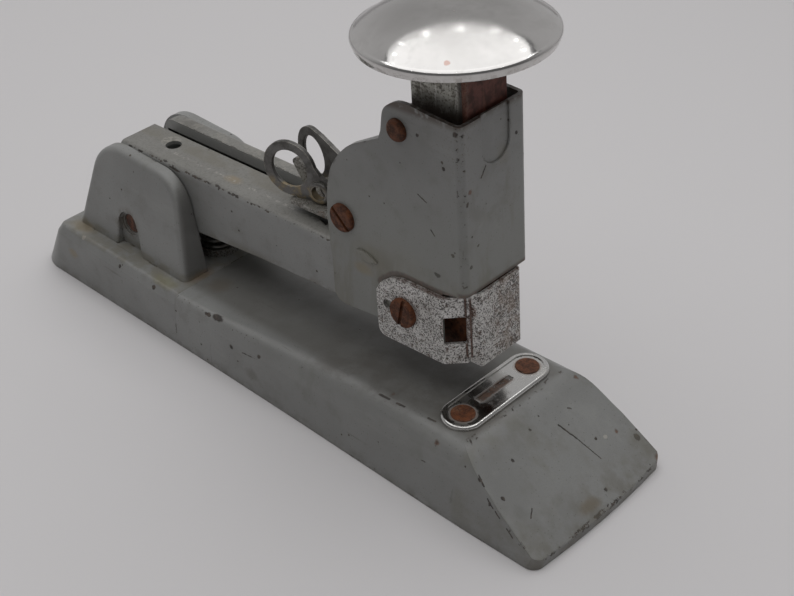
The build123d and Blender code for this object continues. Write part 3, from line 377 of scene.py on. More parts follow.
def head_extra(b, col, rough, h):
    x, y, z = b.level()
    # grease and rust weeping down from the top rim and out of the guard's edge
    drip = b.noise(130.0, 4.0, 0.6, stretch=(1.0, 1.0, 0.22))
    top = b.mul(b.ramp(z, 0.1150, 0.1178), b.ramp(b.noise(420.0, 3.0), 0.34, 0.52))
    col = b.mix(b.mul(top, 0.85), col, (0.070, 0.046, 0.032))
    low = b.mul(b.ramp(z, 0.066, 0.057), b.ramp(drip, 0.42, 0.62))
    col = b.mix(b.mul(low, 0.50), col, (0.135, 0.112, 0.076))
    front = b.ramp(x, 0.0800, 0.0812)
    col = b.mix(b.mul(front, b.ramp(drip, 0.52, 0.68), 0.38), col, (0.155, 0.142, 0.108))
    # fine brown speckle around the front corner
    cor = b.mul(b.ramp(x, 0.068, 0.079), b.ramp(y, -0.0085, -0.0135), b.ramp(z, 0.085, 0.118))
    sp = b.ramp(b.noise(1250.0, 3.0, 0.65), 0.60, 0.66)
    col = b.mix(b.mul(cor, sp, 0.8), col, (0.10, 0.062, 0.040))
    # rust creeping up from under the guard's upper edge
    band = None
    way = [(44.4, 51.0), (46.4, 53.4), (50.6, 56.3), (55.0, 57.6), (70.0, 57.3), (77.0, 57.6)]
    for p0, p1 in zip(way, way[1:]):
        band = b.top(band, b.seg(rest(p0[0], -15.2, p0[1]), rest(p1[0], -15.2, p1[1]), 1.0, 0.5, 0.0006, 420.0),
                     b.seg(rest(p0[0], 15.2, p0[1]), rest(p1[0], 15.2, p1[1]), 1.0, 0.5, 0.0006, 420.0))
    sill = b.mul(b.ramp(x, 0.0770, 0.0790), b.ramp(z, 0.0606, 0.0594))
    rst = b.mix(b.ramp(b.noise(900.0, 3.0, 0.65), 0.40, 0.62), (0.100, 0.040, 0.026), (0.045, 0.024, 0.018))
    col = b.mix(b.mul(b.top(band, sill), 0.88), col, rst)
    # green-grey cast low on the front
    col = b.mix(b.mul(b.ramp(z, 0.100, 0.062), 0.30), col, (0.205, 0.212, 0.180))
    return col, rough, h


def arm_extra(b, col, rough, h):
    x, y, z = b.level()
    strip = b.mul(b.band(y, -0.0045, 0.0032, 0.0012), b.up(0.6, 0.95), b.ramp(b.noise(90.0, 4.0, 0.65), 0.34, 0.6))
    col = b.mix(b.mul(strip, 0.60), col, (0.185, 0.168, 0.128))
    # thin bright rub line along the top, broken into specks
    line = b.mul(b.band(y, -0.0078, -0.0066, 0.0003), b.up(0.6, 0.95), b.ramp(x, -0.074, -0.066),
                 b.ramp(b.noise(650.0, 4.0, 0.65), 0.50, 0.60))
    col = b.mix(b.mul(line, 0.8), col, (0.46, 0.44, 0.40))
    # painted light: the upper part of the slot's far wall is lightened where it sits in the slot's shade
    wall = b.mul(b.band(y, 0.0070, 0.0079, 0.0002), b.ramp(z, 0.0535, 0.0560), b.facing((0.0, -1.0, 0.0)))
    col = b.mix(b.mul(wall, 0.8), col, (0.40, 0.40, 0.38))
    low = b.mul(b.ramp(z, 0.040, 0.036), b.ramp(b.noise(150.0, 3.0), 0.4, 0.62))
    col = b.mix(b.mul(low, 0.5), col, (0.115, 0.102, 0.078))
    # painted shade: every up-facing face of the arm is darkened
    col = b.mix(b.mul(b.up(0.6, 0.95), 0.34), col, (0.105, 0.101, 0.090))
    hx = b.m("SUBTRACT", b.xyz()[0], -0.0756)
    hy = b.m("SUBTRACT", b.xyz()[1], -0.0014)
    hd = b.m("SQRT", b.m("ADD", b.mul(hx, hx), b.mul(hy, hy)))
    rimh = b.mul(b.ramp(hd, 0.0040, 0.0033), b.up(0.6, 0.95), b.ramp(b.noise(620.0, 3.0, 0.6), 0.42, 0.56))
    col = b.mix(b.mul(rimh, 0.7), col, (0.30, 0.285, 0.25))
    far = b.mul(b.ramp(y, 0.0068, 0.0078), b.up(0.6, 0.95))
    col = b.mix(b.mul(far, b.ramp(b.noise(240.0, 4.0, 0.65), 0.50, 0.60), 0.35), col, (0.33, 0.315, 0.28))
    return col, rough, h


def bracket_extra(b, col, rough, h):
    x, y, z = b.xyz()[0], b.xyz()[1], b.xyz()[2]
    foot = b.mul(b.ramp(z, 0.0008, 0.0046, 1.0, 0.0), b.ramp(b.noise(180.0, 3.0), 0.35, 0.65))
    col = b.mix(b.mul(foot, 0.45), col, (0.11, 0.102, 0.088))
    seat = b.mul(b.band(z, 0.0205, 0.0242, 0.0008), b.ramp(b.noise(160.0, 4.0, 0.65), 0.36, 0.60))
    col = b.mix(b.mul(seat, 0.42), col, (0.150, 0.128, 0.080))
    # painted shade: the ear's face that looks towards the arm is darkened where the arm shades it
    side = b.mul(b.facing((1.0, 0.0, 0.0), 0.55, 0.9), b.ramp(z, 0.0215, 0.0235), b.ramp(x, -0.075, -0.065))
    col = b.mix(b.mul(side, 0.60), col, (0.085, 0.082, 0.076))
    ring = b.mul(b.blob((-0.079, -0.0225, 0.0312), (6.4, 4.0, 6.4), 0.25, 0.0008, 420.0), b.ramp(b.noise(420.0, 4.0, 0.65), 0.40, 0.58))
    col = b.mix(b.mul(ring, 0.55), col, (0.105, 0.085, 0.062))
    return col, rough, h


pan_mat = enamel(
    "enamel_base_pan", 0.11, edge_r=1.3, edge_on=0.585, extra=pan_extra,
    chips=[((-0.0215, -0.0306, 0.0216), (2.6, 1.6, 0.9)), ((-0.0262, -0.0312, 0.0211), (1.6, 1.2, 0.6)),
           ((-0.0133, -0.0324, 0.0140), 0.9), ((0.0006, -0.0318, 0.0167), 0.8),
           ((0.0997, -0.0304, 0.0207), (0.7, 0.8, 0.7)), ((0.1053, -0.0319, 0.0151), (0.6, 0.8, 0.8)),
           ((0.1103, 0.0162, 0.0138), 0.6), ((0.1010, -0.0158, 0.0198), 0.7),
           ((0.1172, 0.0304, 0.0093), (1.6, 1.2, 1.0)), ((0.1226, 0.0062, 0.0058), 0.7),
           ((0.0974, -0.0028, 0.0221), 0.5), ((0.1072, -0.0279, 0.0158), 0.7)],
    scratches=[((-0.0076, -0.0324, 0.0144), (-0.0004, -0.0324, 0.0152), 0.36),
               ((0.0614, -0.0319, 0.0153), (0.0634, -0.0319, 0.0153), 0.22),
               ((0.0655, -0.0323, 0.0135), (0.0671, -0.0323, 0.0136), 0.22),
               ((0.0713, -0.0322, 0.0146), (0.0736, -0.0322, 0.0147), 0.22),
               ((0.0765, -0.0317, 0.0154), (0.0779, -0.0317, 0.0155), 0.20),
               ((0.0893, -0.0231, 0.0261), (0.0914, -0.0245, 0.0250), 0.36),
               ((0.0925, -0.0256, 0.0243), (0.0960, -0.0282, 0.0226), 0.20),
               ((0.0985, -0.0296, 0.0213), (0.1018, -0.0307, 0.0194), 0.28),
               ((0.1040, -0.0315, 0.0162), (0.1066, -0.0321, 0.0143), 0.28),
               ((0.1078, -0.0322, 0.0137), (0.1098, -0.0325, 0.0122), 0.26),
               ((0.1130, -0.0327, 0.0101), (0.1156, -0.0331, 0.0082), 0.28),
               ((0.0519, -0.0250, 0.0250), (0.0560, -0.0249, 0.0252), 0.42),
               ((0.0594, -0.0248, 0.0253), (0.0625, -0.0246, 0.0255), 0.40),
               ((0.0723, -0.0240, 0.0260), (0.0752, -0.0238, 0.0262), 0.40),
               ((0.1011, 0.0076, 0.0197), (0.1071, 0.0101, 0.0159), 0.30),
               ((0.1071, 0.0101, 0.0159), (0.1154, 0.0127, 0.0105), 0.18),
               ((0.0997, 0.0160, 0.0207), (0.0990, 0.0150, 0.0211), 0.30),
               ((0.1157, -0.0241, 0.0103), (0.1140, -0.0215, 0.0114), 0.22)],
    rust=[((0.1123, 0.0252, 0.0125), 0.8), ((0.0936, 0.0261, 0.0245), 0.7), ((0.0803, -0.0287, 0.0232), 0.9),
          ((0.1258, 0.0322, 0.0042), (1.6, 1.6, 2.2)), ((0.0555, -0.0225, 0.0255), 0.7)],
    pale=[((0.1117, 0.0199, 0.0129), 0.7)],
    stains=[((0.1130, -0.0264, 0.0120), (2.6, 2.2, 2.0), (0.19, 0.19, 0.18), 0.7),
            ((0.1232, -0.0029, 0.0054), (2.4, 4.2, 1.6), (0.19, 0.145, 0.09), 0.6),
            ((-0.0029, -0.0326, 0.0072), (3.2, 2.0, 1.8), (0.15, 0.145, 0.13), 0.7),
            ((-0.0356, -0.0168, 0.0217), (4.0, 4.2, 1.6), (0.17, 0.12, 0.07), 0.5),
            ((0.0860, -0.0100, 0.0260), (4.0, 9.0, 2.0), (0.16, 0.135, 0.10), 0.4)],
    wear=[((0.0893, -0.0235, 0.0262), (0.0893, 0.0235, 0.0262), 0.9, 0.56),
          ((0.0905, -0.0285, 0.0240), (0.1262, -0.0340, 0.0030), 0.7, 0.58),
          ((0.0905, 0.0285, 0.0240), (0.1262, 0.0340, 0.0030), 0.8, 0.56),
          ((0.1266, -0.0335, 0.0030), (0.1266, 0.0335, 0.0030), 0.9, 0.54),
          ((-0.0420, -0.0315, 0.0205), (0.0860, -0.0295, 0.0235), 1.0, 0.615)])

bracket_mat = enamel(
    "enamel_rear_bracket", 0.37, edge_r=1.3, edge_on=0.59, extra=bracket_extra,
    chips=[((-0.0747, -0.0317, 0.0191), 0.8), ((-0.0553, -0.0318, 0.0189), 0.9), ((-0.1090, -0.0305, 0.0120), 0.8)],
    stains=[((-0.0525, -0.0285, 0.0214), (6.0, 2.6, 1.6), (0.24, 0.225, 0.13), 0.6),
            ((-0.1025, -0.0266, 0.0215), (5.0, 2.6, 1.6), OCHRE, 0.55),
            ((-0.1028, -0.0326, 0.0119), (2.4, 2.0, 1.6), OCHRE, 0.5),
            ((-0.0458, -0.0174, 0.0216), (3.0, 5.0, 1.4), (0.17, 0.10, 0.055), 0.65)],
    pale=[((-0.0973, -0.0307, 0.0210), 0.9)])

arm_mat = enamel(
    "enamel_arm", 0.53, edge_r=1.0, edge_on=0.60, extra=arm_extra, warm_top=0.50, tone=0.97,
    chips=[((-0.0661, -0.0124, 0.0598), (1.3, 0.45, 0.45)), ((-0.0600, -0.0131, 0.0591), (3.2, 0.42, 0.5)),
           ((-0.0493, -0.0128, 0.0603), (1.6, 0.4, 0.4)), ((-0.0378, -0.0124, 0.0613), (1.4, 0.4, 0.4)),
           ((-0.0285, -0.0126, 0.0617), (1.8, 0.4, 0.4))],
    pale=[((-0.0540, 0.0082, 0.0598), 0.7), ((-0.0458, 0.0082, 0.0615), 0.8)],
    stains=[((-0.0364, -0.0063, 0.0618), (3.4, 2.0, 1.2), (0.34, 0.26, 0.15), 0.7),
            ((-0.0776, 0.0100, 0.0605), (6.0, 2.6, 1.4), (0.13, 0.12, 0.105), 0.6)],
    wear=[(tuple(rest(-84.0, -13.5, 58.9)), tuple(rest(40.0, -13.5, 56.0)), 0.42, 0.50),
          (tuple(rest(-84.0, 13.4, 60.2)), tuple(rest(40.0, 13.4, 57.3)), 0.5, 0.54),
          (tuple(rest(-84.0, 7.6, 60.7)), tuple(rest(40.0, 7.6, 57.7)), 0.40, 0.52)])

head_mat = enamel(
    "enamel_head", 0.71, edge_r=1.2, edge_on=0.575, extra=head_extra, tone=0.90,
    chips=[((0.0686, -0.0146, 0.1141), 0.7), ((0.0679, -0.0146, 0.1160), 0.5), ((0.0725, -0.0145, 0.1272), 0.8),
           ((0.0761, -0.0122, 0.1037), (0.6, 0.6, 0.9)), ((0.0729, -0.0146, 0.0851), 0.7),
           ((0.0778, -0.0116, 0.0816), 0.7), ((0.0670, -0.0146, 0.0751), (1.4, 0.8, 0.8)),
           ((0.0773, -0.0081, 0.0878), 0.5), ((0.0749, 0.0109, 0.1179), 0.6), ((0.0580, -0.0146, 0.1214), 0.6)],
    scratches=[((0.0755, -0.0057, 0.1100), (0.0752, -0.0035, 0.1130), 0.30),
               ((0.0585, -0.0146, 0.1010), (0.0620, -0.0146, 0.0995), 0.22),
               ((0.0640, -0.0146, 0.0905), (0.0655, -0.0146, 0.0890), 0.25)],
    rust=[((0.0757, -0.0108, 0.1073), 0.8)],
    stains=[((0.0751, 0.0046, 0.1130), (2.0, 2.4, 4.0), (0.20, 0.19, 0.16), 0.5),
            ((0.0352, -0.0146, 0.0622), (3.6, 2.0, 2.0), OCHRE, 0.6),
            ((0.0380, -0.0150, 0.0680), (6.0, 2.0, 4.5), (0.21, 0.185, 0.13), 0.45),
            ((0.0500, -0.0146, 0.0700), (14.0, 2.0, 8.0), (0.22, 0.21, 0.175), 0.35)],
    wear=[(tuple(rest(80.6, -14.5, 62.0)), tuple(rest(80.6, -14.5, 117.0)), 1.3, 0.60),
          (tuple(rest(80.6, 14.5, 62.0)), tuple(rest(80.6, 14.5, 117.0)), 1.3, 0.60)])


# ---------------------------------------------------------------------------
# metals
# ---------------------------------------------------------------------------
def rusted(name, seed, tone=1.0, bright=0.25):
    """Screw and rivet steel, browned with rust, brighter where rubbed."""
    b = Mat(name, seed)
    n1 = b.noise(420.0, 4.0, 0.65)
    n2 = b.noise(1500.0, 4.0, 0.7)
    n3 = b.noise(150.0, 3.0)
    col = b.mix(b.ramp(n1, 0.36, 0.64), (0.150 * tone, 0.049 * tone, 0.019 * tone), (0.055 * tone, 0.022 * tone, 0.012 * tone))
    col = b.mix(b.mul(b.ramp(n2, 0.50, 0.72), 0.7), col, (0.215 * tone, 0.085 * tone, 0.030 * tone))
    rub = b.mul(b.top(b.edge(0.5), b.ramp(n3, 0.60, 0.72)), b.ramp(n2, 0.38, 0.60))
    col = b.mix(b.mul(rub, bright), col, (0.36, 0.26, 0.19))
    met = b.mixf(rub, 0.05, 0.05 + bright * 1.4)
    rough = b.mixf(b.ramp(n1, 0.3, 0.7), 0.46, 0.66)
    h = b.m("MULTIPLY_ADD", n2, 0.05, b.mul(n1, 0.12))
    return b.finish(col, rough, h, met, spec=0.28)


def dull_steel(name, seed, base=(0.34, 0.335, 0.315), dark=(0.085, 0.075, 0.062), cover=0.45, rough0=0.36,
               rust=0.25, edge_light=0.25, speckle=1400.0):
    """Unpainted steel gone dull, with dark speckle and some brown."""
    b = Mat(name, seed)
    n1 = b.noise(160.0, 4.0, 0.65)
    n2 = b.noise(speckle, 4.0, 0.7)
    n3 = b.noise(420.0, 3.0, 0.6)
    col = b.mix(b.ramp(n1, 0.35, 0.68), base, tuple(0.72 * q for q in base))
    spk = b.ramp(b.m("MULTIPLY_ADD", n1, 0.35, n2), 0.78 - cover * 0.3, 0.88 - cover * 0.3)
    col = b.mix(b.mul(spk, 0.85), col, dark)
    br = b.mul(b.ramp(n3, 0.56, 0.70), rust)
    col = b.mix(br, col, (0.150, 0.070, 0.036))
    e = b.mul(b.edge(0.45), b.ramp(n3, 0.60, 0.42))
    col = b.mix(b.mul(e, edge_light), col, (0.62, 0.60, 0.55))
    met = b.mixf(b.top(spk, br), 0.85, 0.15)
    rough = b.mixf(spk, b.mixf(b.ramp(n1, 0.3, 0.7), rough0, rough0 + 0.14), 0.62)
    h = b.m("SUBTRACT", b.mul(n3, 0.03), b.mul(spk, 0.04))
    return b.finish(col, rough, h, met)


def guard_material():
    """Plated steel, finely pitted all over; browner on the front right, rust in the corner creases."""
    b = Mat("plated_nose_guard", 0.91)
    x, y, z = b.level()
    n1 = b.noise(95.0, 4.0, 0.65)
    n2 = b.noise(1750.0, 3.0, 0.72)
    n3 = b.noise(4200.0, 2.0, 0.6)
    n4 = b.noise(420.0, 4.0, 0.65)
    front = b.ramp(x, 0.0795, 0.0815)
    right = b.mul(front, b.ramp(y, -0.0070, 0.0010))
    col = b.mix(b.ramp(n1, 0.35, 0.65), (0.74, 0.73, 0.71), (0.60, 0.585, 0.56))
    dens = b.m("MULTIPLY_ADD", n4, 0.30, n2)
    dens = b.m("MULTIPLY_ADD", n1, 0.10, dens)
    dens = b.m("MULTIPLY_ADD", right, 0.030, dens)
    pit = b.ramp(dens, 0.700, 0.755)
    fine = b.mul(b.ramp(n3, 0.50, 0.66), 0.45)
    pits = b.top(pit, fine)
    col = b.mix(b.mul(pits, 0.92), col, b.mix(b.ramp(n4, 0.50, 0.68), (0.050, 0.045, 0.040), (0.100, 0.062, 0.042)))
    brown = b.mul(right, b.ramp(b.noise(260.0, 4.0, 0.65), 0.38, 0.62), 0.42)
    col = b.mix(brown, col, (0.30, 0.225, 0.170))
    # two rust-filled creases at each corner of the front panel
    ay = b.m("ABSOLUTE", y)
    lines = None
    for px, py in ((0.07745, 0.01125), (0.07905, 0.01078)):
        dx = b.m("SUBTRACT", x, px)
        dy = b.m("SUBTRACT", ay, py)
        d = b.m("SQRT", b.m("ADD", b.mul(dx, dx), b.mul(dy, dy)))
        lines = b.top(lines, b.ramp(d, 0.00022, 0.00052, 1.0, 0.0))
    lines = b.mul(lines, b.band(z, 0.0335, 0.0562, 0.0012))
    stain = b.top(b.blob(rest(79.6, -10.4, 51.2), (1.2, 1.4, 2.2), 0.5, 0.0012, 420.0),
                  b.mul(b.blob(rest(78.6, -10.9, 46.0), (1.0, 1.2, 7.0), 0.5, 0.0012, 420.0), 0.75))
    rim = b.mul(b.ramp(z, 0.0553, 0.0562), b.ramp(x, 0.0790, 0.0760), b.ramp(n4, 0.36, 0.50))
    rimf = b.mul(front, b.ramp(z, 0.0574, 0.0582), b.ramp(n4, 0.38, 0.52))
    sill = b.mul(b.blob(rest(74.8, -13.6, 43.7), (4.4, 4.4, 6.0), 0.15, 0.0005, 600.0), b.ramp(n4, 0.50, 0.60), 0.6)
    rs = b.top(b.mul(lines, 0.9), b.mul(stain, b.ramp(n2, 0.32, 0.50)), b.mul(rim, 0.7), b.mul(rimf, 0.6), sill)
    col = b.mix(rs, col, b.mix(b.ramp(n2, 0.4, 0.6), (0.125, 0.050, 0.026), (0.055, 0.026, 0.017)))
    e = b.mul(b.edge(0.6), b.ramp(n4, 0.62, 0.45))
    col = b.mix(b.mul(e, 0.6), col, (0.86, 0.85, 0.82))
    allm = b.top(pits, rs)
    met = b.mixf(allm, 0.72, 0.10)
    rough = b.mixf(allm, b.mixf(b.ramp(n1, 0.35, 0.65), 0.32, 0.44), 0.60)
    h = b.m("SUBTRACT", b.mul(n4, 0.06), b.mul(pits, 0.05))
    h = b.m("SUBTRACT", h, b.mul(lines, 0.28))
    return b.finish(col, rough, h, met)


def chrome_knob_material():
    b = Mat("chrome_knob", 1.21)
    x, y, z = b.level()
    n1 = b.noise(42.0, 4.0, 0.6)
    n2 = b.noise(900.0, 3.0, 0.6)
    haze = b.ramp(n1, 0.44, 0.66)
    finger = b.ramp(b.noise(150.0, 4.0, 0.7, stretch=(1.0, 0.5, 1.0)), 0.52, 0.68)
    hz = b.top(b.mul(haze, 0.45), b.mul(finger, 0.40))
    col = b.mix(b.mul(hz, 0.5), (0.64, 0.628, 0.615), (0.44, 0.425, 0.405))
    # a darker, rougher patch over the middle of the cap: painted shade that tones down the lamp's reflection
    cap_painted_shade = b.mul(b.blob((0.0583, 0.0006, 0.1580), 24.0, 0.55, 0.005, 60.0), b.ramp(n1, 0.30, 0.62, 0.55, 1.0))
    col = b.mix(b.mul(cap_painted_shade, 0.62), col, (0.33, 0.322, 0.312))
    d, c = b.cells(260.0)
    rare = b.ramp(b.vm("DOT_PRODUCT", c, (1.0, 0.0, 0.0)), 0.84, 0.87)
    pit = b.mul(b.ramp(d, 0.05, 0.12, 1.0, 0.0), rare)
    col = b.mix(b.mul(pit, 0.75), col, (0.12, 0.095, 0.08))
    col = b.mix(b.mul(b.blob((0.0752, -0.0218, 0.1541), 0.9, 0.3), 0.7), col, (0.45, 0.27, 0.22))
    rim = b.mul(b.ramp(z, 0.1400, 0.1372), b.ramp(b.noise(380.0, 4.0, 0.65), 0.44, 0.60))
    col = b.mix(b.mul(rim, 0.25), col, (0.24, 0.20, 0.16))
    rough = b.mixf(hz, 0.085, 0.26)
    rough = b.mixf(b.mul(cap_painted_shade, 0.35), rough, 0.24)
    rough = b.mixf(b.top(pit, b.mul(rim, 0.7)), rough, 0.5)
    h = b.m("MULTIPLY_ADD", b.noise(60.0, 2.0), 0.075, b.mul(n2, 0.0020))
    h = b.m("SUBTRACT", h, b.mul(pit, 0.03))
    return b.finish(col, rough, h, 1.0)


def anvil_material():
    b = Mat("chrome_anvil", 1.47)
    x, y, z = b.xyz()[0], b.xyz()[1], b.xyz()[2]
    n1 = b.noise(120.0, 4.0, 0.65)
    n2 = b.noise(900.0, 4.0, 0.7)
    haze = b.ramp(n1, 0.42, 0.64)
    col = b.mix(b.mul(haze, 0.45), (0.60, 0.595, 0.58), (0.40, 0.385, 0.36))
    # brown debris packed in the clinch grooves and specks round them
    mid = b.mul(b.band(y, -0.0080, 0.0080, 0.0012), b.band(x, 0.0783, 0.0816, 0.0007))
    low = b.ramp(z, 0.02835, 0.02805)
    deb = b.mul(mid, b.top(b.mul(low, b.ramp(n2, 0.30, 0.46)), b.ramp(b.noise(520.0, 4.0, 0.7), 0.52, 0.60)))
    col = b.mix(b.mul(deb, 0.9), col, b.mix(b.ramp(n2, 0.4, 0.62), (0.060, 0.034, 0.022), (0.150, 0.070, 0.036)))
    spot = b.mul(b.ramp(n2, 0.66, 0.72), 0.6)
    col = b.mix(spot, col, (0.13, 0.10, 0.08))
    ring = None
    for yy in (-0.0164, 0.0164):
        ring = b.top(ring, b.blob((0.0805, yy, 0.0280), 4.7, 0.12, 0.0005, 500.0))
    col = b.mix(b.mul(ring, 0.6), col, (0.15, 0.085, 0.05))
    rough = b.mixf(haze, 0.13, 0.34)
    rough = b.mixf(b.top(deb, spot, b.mul(ring, 0.7)), rough, 0.58)
    met = b.mixf(b.top(deb, b.mul(ring, 0.6)), 1.0, 0.2)
    h = b.m("MULTIPLY_ADD", b.noise(110.0, 2.0), 0.035, b.mul(deb, 0.05))
    return b.finish(col, rough, h, met)


def plunger_material():
    """Square plunger tube: grey-olive, pitted, with upright rub marks."""
    b = Mat("steel_plunger", 1.63)
    x, y, z = b.level()
    n1 = b.noise(210.0, 4.0, 0.65)
    n2 = b.noise(1300.0, 4.0, 0.72)
    run = b.noise(520.0, 4.0, 0.65, stretch=(1.0, 1.0, 0.07))
    col = b.mix(b.ramp(n1, 0.36, 0.66), (0.42, 0.415, 0.375), (0.25, 0.24, 0.205))
    col = b.mix(b.mul(b.ramp(run, 0.52, 0.66), 0.62), col, (0.66, 0.65, 0.61))
    pit = b.ramp(b.m("MULTIPLY_ADD", n1, 0.3, n2), 0.66, 0.74)
    col = b.mix(b.mul(pit, 0.75), col, (0.085, 0.068, 0.052))
    top = b.mul(b.ramp(z, 0.128, 0.1345), b.ramp(n1, 0.40, 0.60))
    col = b.mix(b.mul(top, 0.6), col, (0.14, 0.085, 0.055))
    grease = b.mul(b.ramp(z, 0.1205, 0.1170), b.ramp(n1, 0.25, 0.45))
    col = b.mix(b.mul(grease, 0.9), col, (0.055, 0.036, 0.026))
    joint = b.mul(b.ramp(x, 0.0755, 0.0772), b.ramp(y, -0.0080, -0.0090))
    col = b.mix(b.mul(joint, 0.85), col, (0.040, 0.028, 0.022))
    met = b.mixf(b.top(pit, b.mul(top, 0.6), grease, joint), 0.75, 0.05)
    rough = b.mixf(pit, 0.40, 0.62)
    h = b.m("SUBTRACT", b.mul(run, 0.03), b.mul(pit, 0.05))
    return b.finish(col, rough, h, met)


def front_plate_material():
    b = Mat("rusted_front_plate", 1.83)
    x, y, z = b.level()
    n1 = b.noise(260.0, 4.0, 0.65)
    n2 = b.noise(1400.0, 4.0, 0.72)
    run = b.noise(420.0, 4.0, 0.65, stretch=(1.0, 1.0, 0.10))
    col = b.mix(b.ramp(n1, 0.36, 0.64), (0.135, 0.040, 0.026), (0.062, 0.022, 0.015))
    col = b.mix(b.mul(b.ramp(run, 0.52, 0.68), 0.45), col, (0.175, 0.066, 0.042))
    left = b.mul(b.ramp(y, -0.0072, -0.0088), b.ramp(n2, 0.35, 0.6))
    col = b.mix(b.mul(left, 0.40), col, (0.24, 0.17, 0.13))
    dk = b.ramp(n2, 0.60, 0.72)
    col = b.mix(b.mul(dk, 0.6), col, (0.045, 0.024, 0.018))
    rough = b.mixf(b.ramp(n1, 0.3, 0.7), 0.42, 0.62)
    h = b.m("MULTIPLY_ADD", n2, 0.04, b.mul(n1, 0.08))
    return b.finish(col, rough, h, b.mixf(left, 0.05, 0.3), spec=0.3)


def ring_material(name, seed):
    """Finger rings: dull dark steel, speckled light, brassy where fingers rub."""
    b = Mat(name, seed)
    x, y, z = b.level()
    n1 = b.noise(230.0, 4.0, 0.65)
    n2 = b.noise(1300.0, 4.0, 0.72)
    col = b.mix(b.ramp(n1, 0.36, 0.66), (0.150, 0.146, 0.140), (0.090, 0.086, 0.080))
    lt = b.ramp(n2, 0.56, 0.68)
    col = b.mix(b.mul(lt, 0.30), col, (0.34, 0.33, 0.30))
    dk = b.ramp(b.noise(1700.0, 3.0, 0.7), 0.60, 0.70)
    col = b.mix(b.mul(dk, 0.55), col, (0.055, 0.048, 0.040))
    low = b.mul(b.ramp(z, 0.0700, 0.0655), b.ramp(n1, 0.42, 0.58))
    col = b.mix(b.mul(low, 0.55), col, (0.40, 0.31, 0.17))
    e = b.mul(b.edge(0.4), b.ramp(n1, 0.64, 0.46))
    col = b.mix(b.mul(e, 0.6), col, (0.62, 0.585, 0.50))
    met = b.mixf(dk, 0.65, 0.2)
    rough = b.mixf(b.ramp(n1, 0.3, 0.7), 0.36, 0.52)
    h = b.m("MULTIPLY_ADD", n2, 0.03, b.mul(n1, 0.06))
    return b.finish(col, rough, h, met)


def pin_material():
    """Pivot pin end: red-brown face in a dark recess, light chipped rim."""
    b = Mat("rusted_pivot_pin", 2.03)
    n1 = b.noise(520.0, 4.0, 0.65)
    n2 = b.noise(1500.0, 4.0, 0.7)
    col = b.mix(b.ramp(n1, 0.38, 0.62), (0.190, 0.078, 0.045), (0.070, 0.036, 0.026))
    e = b.edge(0.7)
    col = b.mix(b.mul(e, b.ramp(n1, 0.42, 0.56), 0.8), col, (0.48, 0.44, 0.38))
    col = b.mix(b.mul(b.ramp(n2, 0.60, 0.70), 0.6), col, (0.03, 0.02, 0.016))
    h = b.m("MULTIPLY_ADD", n2, 0.05, b.mul(n1, 0.12))
    return b.finish(col, 0.55, h, 0.25)


def spring_material():
    b = Mat("spring_wire", 2.21)
    n1 = b.noise(300.0, 4.0, 0.65)
    n2 = b.noise(1600.0, 3.0, 0.7)
    col = b.mix(b.ramp(n1, 0.38, 0.64), (0.33, 0.325, 0.31), (0.17, 0.155, 0.135))
    col = b.mix(b.mul(b.ramp(n2, 0.56, 0.70), 0.6), col, (0.105, 0.058, 0.034))
    rough = b.mixf(b.ramp(n1, 0.3, 0.7), 0.32, 0.50)
    return b.finish(col, rough, b.mul(n2, 0.02), 0.8)


MATS = {
    "base_pan": pan_mat, "rear_bracket": bracket_mat, "arm_channel": arm_mat, "head_housing": head_mat,
    "nose_guard": guard_material(), "knob_cap": chrome_knob_material(), "anvil_plate": anvil_material(),
    "anvil_rivets": rusted("rust_anvil_rivets", 0.21, 1.15, 0.30),
    "housing_screws": rusted("rust_housing_screws", 0.31, 0.95, 0.22),
    "housing_rivets": rusted("rust_housing_rivets", 0.41, 0.85, 0.18),
    "guard_screws": rusted("rust_guard_screws", 0.51, 0.95, 0.30),
    "bracket_rivets": rusted("rust_bracket_rivets", 0.61, 1.0, 0.30),
    "driver_rivets": rusted("rust_driver_rivets", 0.66, 1.0, 0.30),
    "knob_screw": rusted("rust_knob_screw", 0.69, 1.0, 0.4),
    "pivot_pin": pin_material(),
    "plunger_channel": plunger_material(), "plunger_front_plate": front_plate_material(),
    "finger_ring_near": ring_material("steel_ring_near", 0.81), "finger_ring_far": ring_material("steel_ring_far", 0.87),
    "slide_plate": dull_steel("steel_slide_plate", 1.01, base=(0.40, 0.39, 0.36), cover=0.42, rough0=0.34, rust=0.35),
    "magazine_channel": dull_steel("steel_magazine", 1.05, base=(0.27, 0.262, 0.245), cover=0.50, rust=0.45),
    "staple_rail": dull_steel("steel_rail", 1.09, base=(0.50, 0.495, 0.475), cover=0.25, rust=0.2),
    "staple_pusher": dull_steel("steel_pusher", 1.13, base=(0.36, 0.35, 0.33), cover=0.5, rust=0.4),
    "follower_rod": dull_steel("steel_rod", 1.17, base=(0.44, 0.435, 0.42), cover=0.35, rust=0.3),
    "ring_hinge_pin": dull_steel("steel_hinge_pin", 1.25, cover=0.5, rust=0.5),
    "pivot_bush": dull_steel("steel_bush", 1.29, cover=0.5, rust=0.4),
    "return_spring_cup": dull_steel("steel_spring_cup", 1.33, cover=0.55, rust=0.55),
    "housing_spacer": dull_steel("steel_spacer", 1.37, cover=0.5, rust=0.4),
    "rear_guide_block": dull_steel("steel_guide_block", 1.41, cover=0.5, rust=0.45),
    "nose_block": rusted("rust_nose_block", 1.45, 0.80, 0.12),
    "inner_bracket": dull_steel("steel_inner_bracket", 1.49, cover=0.5, rust=0.4),
    "spring_guide_rod": dull_steel("steel_guide_rod", 1.53, cover=0.4, rust=0.3),
    "driver_blade": dull_steel("steel_driver", 1.57, base=(0.52, 0.515, 0.50), cover=0.25, rust=0.2),
    "plunger_top_block": dull_steel("steel_top_block", 1.61, cover=0.5, rust=0.5),
    "knob_plate": dull_steel("steel_knob_plate", 1.65, base=(0.30, 0.29, 0.27), cover=0.55, rust=0.5),
}
SPRING = spring_material()
